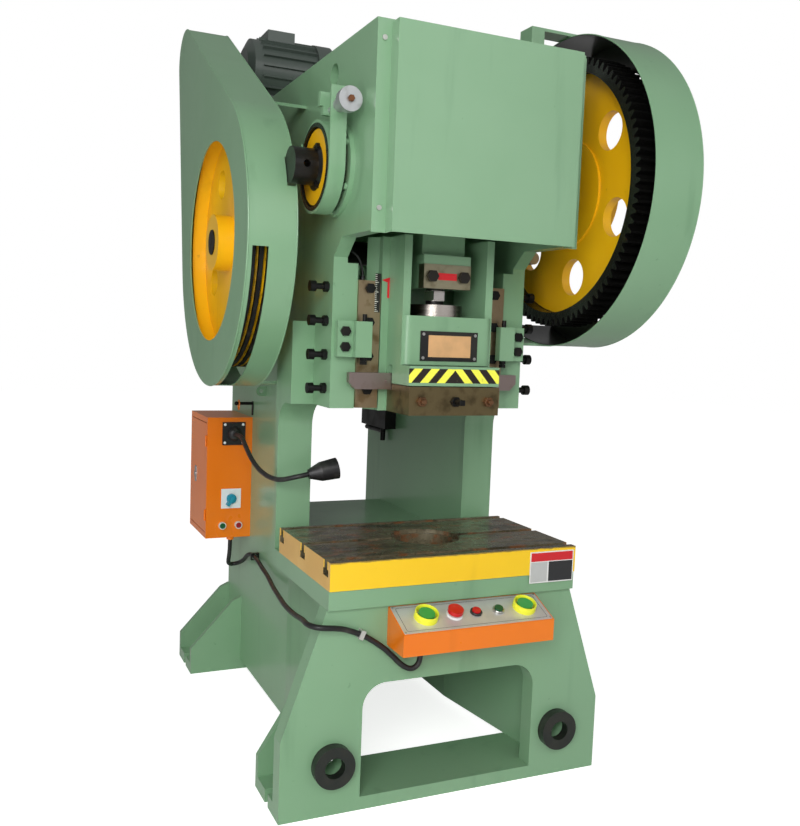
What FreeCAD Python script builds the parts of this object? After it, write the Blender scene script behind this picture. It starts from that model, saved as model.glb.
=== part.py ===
"""Open-back mechanical stamping press with a crank drive, as a parametric document.

Millimetres; X to the right, Y to the back, Z up.  The origin lies on the floor, under the axis of the slide.
Each size that can be set by itself is a cell of the sheet; what fits it is worked out from those cells.
"""
import FreeCAD, Part
import math
import os
import re
import Sketcher
from FreeCAD import Vector

SIZES = {
    # general clearances
    "fit_gap": 0.3, "bolt_gap": 0.3, "seat_gap": 0.3,
    # side walls
    "wall_in": 247, "wall_thick": 38, "wall_rear": 1035, "foot_thick": 34, "top_z": 1905, "nose_y": -230,
    "nose_low": 1426, "chamfer_y": -43, "chamfer_low": 1380, "upright_y": 12, "throat_y": 255,
    "throat_top": 990, "throat_radius": 75, "wall_flare": 62, "flare_rear": 316, "flare_radius": 140,
    "wall_hole_y": 50, "wall_hole_z": 1838, "wall_hole_radius": 30, "leg_hole_y": -106, "leg_hole_z": 164,
    # front plate and table
    "front_y": -193, "front_thick": 50, "front_top_half": 348, "foot_half": 457, "foot_straight": 203,
    "table_top": 569, "table_thick": 48, "table_half": 350, "table_front": -206, "arch_half": 247,
    "arch_top": 322, "arch_radius": 62, "socket_x": 324, "socket_z": 131, "socket_radius": 53,
    "socket_bore": 26, "socket_reach": 26,
    # bolster
    "bolster_front": -210, "bolster_depth": 415, "bolster_thick": 70, "bolster_bore": 78,
    "bolster_rim": 94, "rim_depth": 10, "slot_throat": 22, "slot_head": 38, "slot_throat_deep": 20,
    "slot_head_deep": 18, "slot_front_y": -178, "slot_rear_y": 182,
    # feet and gussets
    "foot_depth": 206, "rear_foot_y": 843, "rear_foot_depth": 200, "notch_width": 26, "notch_deep": 34,
    "gusset_thick": 20, "gusset_low": 88, "gusset_top": 258, "gusset_reach": 30,
    # throat frames, gib carriers and cross plates
    "strip_inset": 3, "strip_thick": 25, "strip_low": 550, "cheek_front": 145, "cheek_rear": 300,
    "cheek_top": 1213, "cheek_round": 18, "carrier_in": 217, "carrier_rear": 150, "carrier_lip": 42,
    "carrier_top": 1366, "plate_thick": 20, "web_y": 152, "rear_plate_low": 1300, "rear_table_end": 905,
    # crank cover
    "cover_half": 250, "cover_reach": 44, "cover_low": 1422, "cover_top": 1897, "sheet": 3,
    "cover_screw_x": 268, "cover_screw_radius": 6, "cover_screw_low": 1478, "cover_screw_high": 1860,
    # crankshaft
    "crank_z": 1595, "crank_throw": 50, "journal": 60, "pin_radius": 62, "pin_half": 75, "cheek_wide": 45,
    "cheek_radius": 92, "bush_wall": 16, "bush_flange": 118, "bush_flange_thick": 12, "right_boss": 105,
    "right_boss_end": 355, "shaft_end": 45, "shaft_end_x": 412, "cross_hole": 9, "crank_right_end": 498,
    # brake
    "drum_face": 352, "drum_back": 304, "drum_radius": 107, "drum_rim": 10, "drum_recess": 6,
    "band_thick": 7, "band_in": 309, "band_out": 350, "band_tab_top": 1772, "brake_bar_z": 1768,
    "brake_bar_y": -52, "brake_bar_thick": 16, "brake_bar_high": 34, "cap_radius": 29, "cap_face": -188,
    "cap_depth": 22, "cap_z": 1726, "cap_x": 328, "brake_rod": 8, "brake_spring_radius": 17,
    # gears and drive shaft
    "gear_module": 8, "gear_teeth": 90, "pinion_teeth": 18, "mesh_angle": 23, "gear_face": 367,
    "gear_width": 86, "tooth_play": 0.9, "web_radius": 330, "web_inset": 42, "web_thick": 26,
    "gear_hole": 51, "gear_hole_circle": 233, "gear_boss": 148, "gear_boss_step": 5, "gear_hub_reach": 20,
    "drive_radius": 35, "drive_end_x": 515, "drive_right_end": 470, "bearing_wall": 22,
    "bearing_flange": 85, "bearing_flange_thick": 18, "key_wide": 10, "key_deep": 5,
    # flywheel, belts and motor
    "wheel_radius": 350, "wheel_left": 503, "wheel_right": 403, "wheel_rim": 42, "wheel_web": 20,
    "wheel_hub": 78, "wheel_hub_left": 512, "wheel_hole": 42, "wheel_hole_circle": 205, "belt_top": 17,
    "belt_deep": 13, "belt_rows": 4, "belt_pitch": 21, "pulley_radius": 70, "motor_y": 815, "motor_z": 2025,
    "motor_radius": 112, "motor_left": 330, "motor_right": 40, "motor_shaft": 19, "motor_foot": 20,
    "motor_bed": 8, "motor_bed_half": 112, "motor_fin": 3,
    # guards
    "guard_face": 517, "guard_inner": 388, "guard_radius": 405, "guard_small": 95, "guard_opening": 277,
    "guard_slot_from": 185, "guard_slot_to": 268, "guard_slot_left": 503, "guard_slot_wide": 41,
    "band_radius": 424, "band_left": 368, "band_right": 515, "band_from": 80, "band_to": 300,
    "stay_thick": 8, "stay_wide": 60, "notch_gap": 6,
    # slide
    "slide_half": 130, "slide_rear": 100, "slide_low": 985, "slide_front": -84, "ledge_front": -138,
    "ledge_top": 1110, "panel_front": -96, "panel_top": 1237, "panel_round": 24,
    "cheek_thick": 21, "slide_top": 1440, "guide_half": 151, "guide_front": 8, "vee_y": 57, "vee_half": 25,
    "vee_reach": 24, "pocket_radius": 52, "pocket_low": 1141, "slot_side": 43,
    "bar_slot_top": 1107, "bar_slot_front": -31, "bar_slot_rear": -7, "warning_half": 83,
    "warning_low": 1122, "warning_top": 1199, "warning_thick": 2,
    # shank clamp
    "shank_bore": 20, "clamp_front": -142, "clamp_half": 129, "clamp_rise": 15, "clamp_gap": 2, "clamp_bolt_x": 96,
    "clamp_bolt_z": 1021, "clamp_bolt": 10, "clamp_hex": 28, "clamp_head": 12,
    # connecting rod and ball screw
    "rod_half": 68, "rod_front": 69, "rod_low": 1310, "rod_eye": 104, "rod_clamp_top": 1372,
    "rod_clamp_deep": 30, "rod_foot_top": 1396, "rod_set_back": 26, "rod_waist": 6, "screw_radius": 35,
    "screw_top": 1500, "hex_low": 1280, "hex_high": 1306, "hex_flats": 54, "neck_radius": 24,
    "ball_radius": 38, "ball_z": 1190, "cap_ring": 75,
    "cap_ring_low": 1240, "cap_ring_thick": 28,
    # gibs and their bolts
    "gib_front": 4, "gib_low": 992, "gib_top": 1324, "gib_in": 155, "gib_rear": 106, "gib_bolt_x": 186,
    "gib_bolt_low": 1040, "gib_bolt_pitch": 88, "gib_bolt": 8, "gib_hex": 24, "gib_head": 9,
    "push_y": 48, "push_reach": 336, "push_head": 14, "push_nut": 13,
    # knock-out bar, brackets and stop screws
    "bar_half": 248, "bar_low": 1043, "bar_high": 43, "bar_front": -28, "bar_thick": 18, "bar_cut": 18,
    "bracket_low": 1125, "bracket_top": 1217, "bracket_in": 190, "bracket_step": 235, "bracket_out": 277,
    "bracket_front": -33, "bracket_back": -8, "bracket_low_front": -13, "stop_x": 207, "stop_y": -20,
    "stop_radius": 6, "stop_tip": 1106, "stop_end": 1236, "stop_hex": 18, "bracket_bolt_x": 257,
    "bracket_bolt_low": 1151, "bracket_bolt_high": 1191,
    # oil line
    "oil_radius": 3,
    # clutch pin and linkage
    "clutch_pin": 17, "clutch_z": 1413, "linkage_in": 205, "linkage_front": 775, "linkage_rear": 1000,
    "linkage_low": 846, "linkage_top": 985, "lever_y": 852, "lever_low": 797, "lever_radius": 9,
    # electric cabinet and lamp
    "cabinet_depth": 150, "cabinet_front": 754, "cabinet_rear": 1008, "cabinet_low": 490,
    "cabinet_top": 892, "cabinet_sheet": 2, "door_thick": 3, "lip": 18, "door_side": 5, "door_gap": 2.5,
    "barrel": 3, "barrel_high": 36, "barrel_in": 60, "barrel_leaf": 15,
    "lock_in": 87, "lock_z": 683, "lock_radius": 9, "mount_x": 348, "mount_z": 839, "mount_half": 38,
    "mount_thick": 5, "neck_tube": 7, "shade_small": 13, "shade_mid": 27, "shade_large": 30,
    "shade_cone": 36, "shade_long": 84, "shade_wall": 1.5, "knob_x": 353, "knob_z": 622,
    "knob_radius": 16, "knob_reach": 20, "knob_plate": 66, "grip_wide": 10, "grip_up": 13,
    "grip_down": 26, "grip_turn": 34, "lamp_left_x": 381, "lamp_right_x": 327, "lamp_z": 532,
    "lamp_radius": 12, "lamp_reach": 12,
    # switch rod and eyelet on the left wall
    "rod_z": 939, "switch_rod": 56, "switch_rod_radius": 5, "switch_rod_end": 7, "switch_foot": 46,
    "lug_radius": 16, "lug_hole": 6, "lug_y": 603, "lug_z": 991,
    # control box
    "box_left": 188, "box_right": 237, "box_low": 418, "box_top": 515, "box_front": -292,
    "box_edge": 473, "palm_left_x": 108, "palm_right_x": 174, "stop_button_x": 28, "red_x": 33,
    "green_x": 98, "palm_radius": 21, "palm_travel": 5, "shroud_radius": 32, "shroud_high": 26,
    "shroud_wall": 4, "stop_button": 20, "small_button": 11, "stem": 8, "button_travel": 4,
    "stop_travel": 4, "button_mid": -243,
    # control cable
    "cable_radius": 7, "gland_in": 18, "cable_clip": 12, "clip_gap": 2.2, "clip_strap": 2,
}

DOC = FreeCAD.newDocument("stamping_press")
SHEET = DOC.addObject("Spreadsheet::Sheet", "Sizes")
NODES = []
NEAR = 1e-4
VERTICAL = Vector(0, 0, 1)


def fill_sheet():
    """Write every size into the sheet, with its alias beside its value."""
    for row, (alias, size) in enumerate(SIZES.items(), 1):
        SHEET.set(f"A{row}", alias)
        SHEET.set(f"B{row}", str(size))
        SHEET.setAlias(f"B{row}", alias)
    DOC.recompute()


def cell(text):
    """An expression in which each size's word points to its cell."""
    return re.sub(r"[a-z]\w*", lambda word: "Sizes." * (word.group() in SIZES) + word.group(), str(text))


def value(text):
    """The number that an expression of the sheet gives now."""
    return float(SHEET.evalExpression(cell(text)))


# Places that several pieces share, as expressions of the sheet.
WALL_OUT = "(wall_in + wall_thick)"
TABLE_LOW = "(table_top - table_thick)"
BOLSTER_TOP = "(table_top + bolster_thick)"
FRONT_BACK = "(front_y + front_thick)"
CENTRES = "(gear_module * (gear_teeth + pinion_teeth) / 2)"
SHAFT_Y = f"({CENTRES} * cos(mesh_angle))"
SHAFT_Z = f"(crank_z - {CENTRES} * sin(mesh_angle))"
PIN_Z = "(crank_z + crank_throw)"
GEAR_BACK = "(gear_face + gear_width)"
COVER_FRONT = "(nose_y - cover_reach)"
CABINET_FACE = f"({WALL_OUT} + cabinet_depth)"


# ---------------------------------------------------------------- building blocks
def node(thing, label):
    """Keep an object as a sub-part under its file name."""
    thing.Label = label
    NODES.append(thing)
    return thing


def bind(thing, **expressions):
    """Bind properties to expressions; a double underscore stands for a dot."""
    for name, text in expressions.items():
        thing.setExpression(name.replace("__", "."), cell(text))
    return thing


def place(thing, x="0", y="0", z="0"):
    """Bind an object's place."""
    return bind(thing, Placement__Base__x=x, Placement__Base__y=y, Placement__Base__z=z)


def across(side, low, high):
    """An X span on the right (side 1) or mirrored to the left (side -1)."""
    return (low, high) if side > 0 else (f"-({high})", f"-({low})")


def box(x, y, z):
    """A box between three spans of expressions."""
    thing = DOC.addObject("Part::Box", "Box")
    bind(thing, Length=f"{x[1]} - ({x[0]})", Width=f"{y[1]} - ({y[0]})", Height=f"{z[1]} - ({z[0]})")
    return place(thing, x[0], y[0], z[0])


TURNS = {"x": FreeCAD.Rotation(Vector(0, 1, 0), 90), "y": FreeCAD.Rotation(Vector(1, 0, 0), -90),
         "z": FreeCAD.Rotation()}


def along(thing, axis, span, first, second):
    """Lay an upright object along an axis: its span on it and its two other coordinates."""
    thing.Placement = FreeCAD.Placement(Vector(), TURNS[axis])
    bind(thing, Height=f"{span[1]} - ({span[0]})")
    base = {"x": (span[0], first, second), "y": (first, span[0], second), "z": (first, second, span[0])}
    return place(thing, *base[axis])


def rod(axis, radius, span, first, second):
    """A round bar along an axis; first and second are its other coordinates in X, Y, Z order."""
    thing = bind(DOC.addObject("Part::Cylinder", "Rod"), Radius=radius)
    return along(thing, axis, span, first, second)


def hexagon(axis, flats, span, first, second):
    """A hexagonal bar of a width across flats."""
    thing = DOC.addObject("Part::Prism", "Hexagon")
    thing.Polygon = 6
    bind(thing, Circumradius=f"{flats} / sqrt(3)")
    return along(thing, axis, span, first, second)


def fuse(*parts):
    """One solid, or one group of solids, from several."""
    thing = DOC.addObject("Part::MultiFuse", "Fuse")
    thing.Shapes = list(parts)
    thing.Refine = True
    return thing


def cut(base, *tools):
    """A base less its tools."""
    thing = DOC.addObject("Part::Cut", "Cut")
    thing.Base = base
    thing.Tool = tools[0] if len(tools) == 1 else fuse(*tools)
    thing.Refine = True
    return thing


def mirrored(source):
    """A copy of an object on the other side of the middle plane."""
    thing = DOC.addObject("Part::Mirroring", "Mirror")
    thing.Source = source
    thing.Normal = Vector(1, 0, 0)
    return thing


def both(source):
    """An object and its mirror image, in one group."""
    return fuse(source, mirrored(source))


def origin_plane(body, role):
    """A body's own origin plane."""
    return next(feature for feature in body.Origin.OriginFeatures if feature.Role == role)


def outline(sketch, points):
    """Draw a closed outline whose corners are held by expressions."""
    count = len(points)
    corners = [Vector(value(u), value(v), 0) for u, v in points]
    sketch.addGeometry([Part.LineSegment(corners[i], corners[(i + 1) % count]) for i in range(count)])
    for i in range(count):
        sketch.addConstraint(Sketcher.Constraint("Coincident", i, 2, (i + 1) % count, 1))
    for i, corner in enumerate(points):
        for kind, text, now in zip(("DistanceX", "DistanceY"), corner, corners[i]):
            number = sketch.addConstraint(Sketcher.Constraint(kind, -1, 1, i, 1, now))
            sketch.setExpression(f"Constraints[{number}]", cell(text))


def new_sketch(body, role, points, offset):
    """A sketch on one of the body's origin planes, moved along its normal."""
    sketch = body.newObject("Sketcher::SketchObject", "Outline")
    sketch.AttachmentSupport = [(origin_plane(body, role), "")]
    sketch.MapMode = "FlatFace"
    bind(sketch, AttachmentOffset__Base__z=offset)
    outline(sketch, points)
    return sketch


PLANE_AXES = {"XY_Plane": ("x", "y"), "XZ_Plane": ("x", "z"), "YZ_Plane": ("y", "z")}


def corner_edges(shape, axes, corner):
    """Names of the edges that run along the pad at one corner of its outline."""
    where = [value(text) for text in corner]
    names = []
    for number, edge in enumerate(shape.Edges, 1):
        ends = [vertex.Point for vertex in edge.Vertexes]
        if len(ends) == 2 and all(abs(getattr(end, axis) - at) < NEAR
                                  for end in ends for axis, at in zip(axes, where)):
            names.append(f"Edge{number}")
    return names


def pad(role, points, span, rounds=()):
    """A plate: an outline on a plane, padded over a span, with some corners rounded.

    rounds holds pairs of a radius and the numbers of the corners that have it.
    """
    body = DOC.addObject("PartDesign::Body", "Plate")
    offset = f"-({span[1]})" if role == "XZ_Plane" else span[0]
    sketch = new_sketch(body, role, points, offset)
    feature = body.newObject("PartDesign::Pad", "Pad")
    feature.Profile = sketch
    bind(feature, Length=f"{span[1]} - ({span[0]})")
    DOC.recompute()
    for radius, corners in rounds:
        names = [name for i in corners for name in corner_edges(feature.Shape, PLANE_AXES[role], points[i])]
        rounded = body.newObject("PartDesign::Fillet", "Round")
        rounded.Base = (feature, names)
        bind(rounded, Radius=radius)
        DOC.recompute()
        feature = rounded
    return body


def spin(points, y, z):
    """A turned piece on an axis along X; its points are X and radius."""
    body = DOC.addObject("PartDesign::Body", "Turned")
    sketch = new_sketch(body, "XY_Plane", points, "0")
    feature = body.newObject("PartDesign::Revolution", "Turn")
    feature.Profile = sketch
    feature.ReferenceAxis = (sketch, ["H_Axis"])
    feature.Angle = 360
    return place(body, "0", y, z)


def formed(shape, label):
    """A piece whose form comes from a formula, read from the sheet."""
    thing = DOC.addObject("Part::Feature", "Formed")
    thing.Shape = shape
    return node(thing, label) if label else thing


# ---------------------------------------------------------------- frame
def bore_tools():
    """The round holes through both walls: bearings, hand hole and leg hole."""
    span = ("-(table_half + foot_half)", "table_half + foot_half")
    return [rod("x", "journal + bush_wall", span, "0", "crank_z"),
            rod("x", "drive_radius + bearing_wall", span, SHAFT_Y, SHAFT_Z),
            rod("x", "wall_hole_radius", span, "wall_hole_y", "wall_hole_z"),
            rod("x", "wall_hole_radius", span, "leg_hole_y", "leg_hole_z")]


def push_rows():
    """The heights of the four rows of bolts on a gib."""
    return [f"gib_bolt_low + {row} * gib_bolt_pitch" for row in range(4)]


def side_wall(side, label):
    """A C-shaped wall plate with its lower front end bent outwards to the front plate."""
    upright = pad("YZ_Plane", [
        ("flare_rear", "foot_thick"), ("wall_rear", "foot_thick"), ("wall_rear", "top_z"),
        ("nose_y", "top_z"), ("nose_y", "nose_low"), ("chamfer_y", "nose_low"),
        ("upright_y", "chamfer_low"), ("upright_y", "throat_top"), ("throat_y", "throat_top"),
        ("throat_y", TABLE_LOW), ("flare_rear", TABLE_LOW)],
        across(side, "wall_in", WALL_OUT), rounds=[("throat_radius", [8])])
    flare = f"{WALL_OUT} + wall_flare"
    plan = [(WALL_OUT, "flare_rear + foot_depth"), (WALL_OUT, "flare_rear"), (flare, FRONT_BACK),
            (f"{flare} - wall_thick", FRONT_BACK), ("wall_in", "flare_rear"),
            ("wall_in", "flare_rear + foot_depth")]
    bent = pad("XY_Plane", [(f"{side} * ({x})", y) for x, y in plan], ("foot_thick", TABLE_LOW),
               rounds=[("flare_radius", [1]), ("flare_radius + wall_thick", [4])])
    holes = bore_tools()
    for z in push_rows():
        holes.append(rod("x", "gib_bolt + bolt_gap", across(side, "carrier_in", "push_reach"), "push_y", z))
    node(cut(fuse(upright, bent), *holes), label)


def front_plate():
    """The front plate with its arch, wide at the floor and narrow under the table."""
    plate = pad("XZ_Plane", [
        ("-foot_half", "foot_thick"), ("-foot_half", "foot_straight"), ("-front_top_half", TABLE_LOW),
        ("front_top_half", TABLE_LOW), ("foot_half", "foot_straight"), ("foot_half", "foot_thick")],
        ("front_y", FRONT_BACK))
    arch = pad("XZ_Plane", [
        ("-arch_half", "foot_thick - 1"), ("-arch_half", "arch_top"), ("arch_half", "arch_top"),
        ("arch_half", "foot_thick - 1")], ("front_y - 1", f"{FRONT_BACK} + 1"),
        rounds=[("arch_radius", [1, 2])])
    bores = [rod("y", "socket_bore", ("front_y - 1", f"{FRONT_BACK} + 1"), x, "socket_z")
             for x in ("-socket_x", "socket_x")]
    node(cut(plate, arch, *bores), "front_plate")


def lifting_sockets():
    """Two ring sockets on the front plate for lifting bars."""
    ring = cut(rod("y", "socket_radius", ("front_y - socket_reach", "front_y"), "socket_x", "socket_z"),
               rod("y", "socket_bore", ("front_y - socket_reach - 1", "front_y + 1"), "socket_x", "socket_z"))
    node(both(ring), "lifting_sockets")


def table_plate():
    """The table plate between the walls, with the scrap hole under the bolster."""
    plate = box(("-table_half", "table_half"), ("table_front", "throat_y"), (TABLE_LOW, "table_top"))
    hole = rod("z", "bolster_bore", (f"{TABLE_LOW} - 1", "table_top + 1"), "0", "0")
    node(cut(plate, hole), "table_plate")


def tee_slot(y):
    """A T-slot along X, open at the top and at both ends."""
    length = ("-table_half - 1", "table_half + 1")
    neck_low = f"{BOLSTER_TOP} - slot_throat_deep"
    neck = box(length, (f"{y} - slot_throat / 2", f"{y} + slot_throat / 2"), (neck_low, f"{BOLSTER_TOP} + 1"))
    head = box(length, (f"{y} - slot_head / 2", f"{y} + slot_head / 2"),
               (f"{neck_low} - slot_head_deep", neck_low))
    return fuse(neck, head)


def bolster_plate():
    """The bolster plate with its bore, rim recess and three T-slots."""
    plate = box(("-table_half", "table_half"), ("bolster_front", "bolster_front + bolster_depth"),
                ("table_top", BOLSTER_TOP))
    bore = rod("z", "bolster_bore", ("table_top - 1", f"{BOLSTER_TOP} + 1"), "0", "0")
    rim = rod("z", "bolster_rim", (f"{BOLSTER_TOP} - rim_depth", f"{BOLSTER_TOP} + 1"), "0", "0")
    slots = [tee_slot(y) for y in ("slot_front_y", "0", "slot_rear_y")]
    node(cut(plate, bore, rim, *slots), "bolster_plate")


def notch(side, y):
    """An open-ended slot for a foundation bolt, in the end of a foot plate."""
    centre = f"{side} * (foot_half - notch_deep)"
    height = ("-1", "foot_thick + 1")
    slot = box(across(side, "foot_half - notch_deep", "foot_half + 1"),
               (f"{y} - notch_width / 2", f"{y} + notch_width / 2"), height)
    return fuse(slot, rod("z", "notch_width / 2", height, centre, y))


def foot_plates():
    """The front foot plate across both legs and the two rear foot plates."""
    front = box(("-foot_half", "foot_half"), ("front_y", "front_y + foot_depth"), ("0", "foot_thick"))
    middle = "(front_y + foot_depth / 2)"
    node(cut(front, notch(1, middle), notch(-1, middle)), "front_foot")
    rear = box(("wall_in", "foot_half"), ("rear_foot_y", "rear_foot_y + rear_foot_depth"), ("0", "foot_thick"))
    node(both(cut(rear, notch(1, "(rear_foot_y + rear_foot_depth / 2)"))), "rear_feet")


def gussets():
    """Slanted gussets between the foot plates and the walls."""
    flare = ("(wall_flare * (flare_rear - front_y - foot_depth + gusset_thick)"
             " / (flare_rear - front_y - front_thick))")
    pieces = []
    for y, root in (("front_y + foot_depth - gusset_thick", f"({WALL_OUT} + {flare} + fit_gap)"),
                    ("rear_foot_y", f"({WALL_OUT})"),
                    ("rear_foot_y + rear_foot_depth - gusset_thick", f"({WALL_OUT})")):
        pieces.append(both(pad("XZ_Plane", [
            (root, "foot_thick"), ("foot_half", "foot_thick"), ("foot_half", "gusset_low"),
            (f"{root} + gusset_reach", "gusset_top - 14"), (root, "gusset_top")],
            (y, f"{y} + gusset_thick"))))
    node(fuse(*pieces), "gussets")


def throat_frames():
    """Flange strips outside the walls at the throat, each with a cheek block on top."""
    out = "table_half - strip_inset"
    strip = pad("YZ_Plane", [
        ("cheek_front", "throat_top"), ("throat_y", "throat_top"), ("throat_y", "strip_low"),
        ("throat_y + strip_thick", "strip_low"), ("throat_y + strip_thick", "cheek_top"),
        ("cheek_front", "cheek_top")], (WALL_OUT, out), rounds=[("throat_radius", [1])])
    node(both(strip), "throat_frames")


def gib_carriers():
    """L-shaped carriers inside the walls that the gibs are bolted to."""
    carrier = pad("XY_Plane", [
        ("carrier_in", "upright_y"), ("wall_in", "upright_y"), ("wall_in", "carrier_rear"),
        ("carrier_in - carrier_lip", "carrier_rear"), ("carrier_in - carrier_lip", "gib_rear"),
        ("carrier_in", "gib_rear")], ("throat_top", "carrier_top"))
    holes = [rod("x", "gib_bolt + bolt_gap", ("carrier_in - 1", "wall_in + 1"), "push_y", z)
             for z in push_rows()]
    node(both(cut(carrier, *holes)), "gib_carriers")


def cross_plates():
    """Top plate with the motor bed, rear plate of the head, cross web behind the slide, rear table plate."""
    width = ("-wall_in", "wall_in")
    top = box(width, ("nose_y", "wall_rear"), ("top_z - plate_thick", "top_z"))
    rear = box(width, ("wall_rear - plate_thick", "wall_rear"), ("rear_plate_low", "top_z - plate_thick"))
    web = box(width, ("web_y", "web_y + plate_thick"), ("throat_top", "carrier_top"))
    table = box(width, ("throat_y", "rear_table_end"), ("table_top - plate_thick", "table_top"))
    bed = box(("-motor_left - 20", "-motor_right + 20"), ("motor_y - motor_bed_half", "motor_y + motor_bed_half"),
              ("top_z", "top_z + motor_bed"))
    node(fuse(top, rear, web, table, bed), "cross_plates")


def crank_cover():
    """The folded sheet cover over the crank, with flanges screwed to the nose of the walls."""
    low, high = "cover_low", "cover_top"
    front = box(("-cover_half", "cover_half"), (COVER_FRONT, f"{COVER_FRONT} + sheet"), (low, high))
    side = box(("cover_half - sheet", "cover_half"), (f"{COVER_FRONT} + sheet", "nose_y"), (low, high))
    flange = box(("cover_half - sheet", WALL_OUT), ("nose_y - sheet", "nose_y"), (low, high))
    lid = box(("-cover_half", "cover_half"), (COVER_FRONT, "nose_y"), ("cover_top - sheet", "cover_top"))
    node(fuse(front, both(side), both(flange), lid), "crank_cover")
    screws = [both(rod("y", "cover_screw_radius", ("nose_y - sheet - 4", "nose_y - sheet"), "cover_screw_x", z))
              for z in ("cover_screw_low", "cover_screw_high")]
    node(fuse(*screws), "cover_screws")


# ---------------------------------------------------------------- crankshaft, brake and rod
def crank_bearings():
    """The two flanged bushes of the crankshaft in the walls."""
    bore, outer = "journal + fit_gap", "journal + bush_wall"
    flange_end = f"{WALL_OUT} + bush_flange_thick"
    left = spin([(f"-({flange_end})", bore), (f"-({flange_end})", "bush_flange"),
                 (f"-{WALL_OUT}", "bush_flange"), (f"-{WALL_OUT}", outer), ("-carrier_in", outer),
                 ("-carrier_in", bore)], "0", "crank_z")
    bolts = [rod("x", "gib_bolt", (f"-({flange_end} + 6)", f"-({flange_end})"),
                 f"(bush_flange - 13) * cos({turn})", f"crank_z + (bush_flange - 13) * sin({turn})")
             for turn in range(30, 390, 60)]
    right = spin([("carrier_in", bore), ("carrier_in", outer), (WALL_OUT, outer), (WALL_OUT, "right_boss"),
                  ("right_boss_end", "right_boss"), ("right_boss_end", bore)], "0", "crank_z")
    node(fuse(left, *bolts, right), "crank_bearings")


def drive_bearings():
    """The two flanged bushes of the drive shaft in the walls."""
    bore, outer = "drive_radius + fit_gap", "drive_radius + bearing_wall"
    end = f"{WALL_OUT} + bearing_flange_thick"
    bush = spin([("carrier_in", bore), ("carrier_in", outer), (WALL_OUT, outer), (WALL_OUT, "bearing_flange"),
                 (end, "bearing_flange"), (end, bore)], SHAFT_Y, SHAFT_Z)
    node(both(bush), "drive_bearings")


def crankshaft():
    """The crankshaft: two journals, two cheeks, the crank pin, the brake seat and a black shaft end."""
    end = rod("x", "shaft_end", ("-shaft_end_x", "-drum_face"), "0", "crank_z")
    hole = rod("y", "cross_hole", ("-shaft_end - 1", "shaft_end + 1"), "-(shaft_end_x + drum_face) / 2", "crank_z")
    journals = [rod("x", "journal", span, "0", "crank_z")
                for span in (("-drum_back", "-pin_half"), ("pin_half", "crank_right_end"))]
    seat = rod("x", "shaft_end", ("-drum_face", "-drum_back"), "0", "crank_z")
    cheek_span = ("pin_half", "pin_half + cheek_wide")
    cheek = fuse(rod("x", "cheek_radius", cheek_span, "0", "crank_z"),
                 rod("x", "cheek_radius", cheek_span, "0", PIN_Z),
                 box(cheek_span, ("-cheek_radius", "cheek_radius"), ("crank_z", PIN_Z)))
    pin = rod("x", "pin_radius", ("-pin_half", "pin_half"), "0", PIN_Z)
    node(cut(fuse(end, seat, *journals, both(cheek), pin), hole), "crankshaft")


def brake():
    """Brake drum on the shaft, band round it, and the spring rod with its cap and bar."""
    drum = spin([("-drum_face", "shaft_end"), ("-drum_face + drum_recess", "shaft_end + 12"),
                 ("-drum_face + drum_recess", "drum_radius - drum_rim"),
                 ("-drum_face", "drum_radius - drum_rim"), ("-drum_face", "drum_radius"),
                 ("-drum_back", "drum_radius"), ("-drum_back", "shaft_end")], "0", "crank_z")
    node(drum, "brake_drum")
    outer = "drum_radius + fit_gap + band_thick"
    span = ("-band_out", "-band_in")
    ring = cut(rod("x", outer, span, "0", "crank_z"),
               rod("x", "drum_radius + fit_gap", ("-band_out - 1", "-band_in + 1"), "0", "crank_z"))
    tab = box(span, (f"-({outer})", f"-({outer}) + band_thick"), ("crank_z", "band_tab_top"))
    rear_tab = box(span, (f"{outer} - band_thick", outer), ("crank_z", "band_tab_top - band_in / 3"))
    rod_hole = rod("y", "brake_rod + bolt_gap", (f"-({outer}) - 1", "0"), "-cap_x", "cap_z")
    node(cut(fuse(ring, tab, rear_tab), rod_hole), "brake_band")
    bar_y = ("brake_bar_y", "brake_bar_y + brake_bar_thick")
    bar = box((f"-band_out - 6", f"-{WALL_OUT}"), bar_y, ("brake_bar_z - brake_bar_high", "brake_bar_z"))
    plate = box(("-cap_x - 20", f"-{WALL_OUT}"), bar_y, ("crank_z + bush_flange + seat_gap", "brake_bar_z"))
    spindle = rod("y", "brake_rod", ("cap_face + cap_depth / 2", "brake_bar_y"), "-cap_x", "cap_z")
    cap = rod("y", "cap_radius", ("cap_face", "cap_face + cap_depth"), "-cap_x", "cap_z")
    spring = rod("y", "brake_spring_radius", ("cap_face + cap_depth", f"-({outer}) - fit_gap"), "-cap_x", "cap_z")
    node(fuse(bar, plate), "brake_bracket")
    node(fuse(spindle, cap, spring), "brake_spring")


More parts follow.
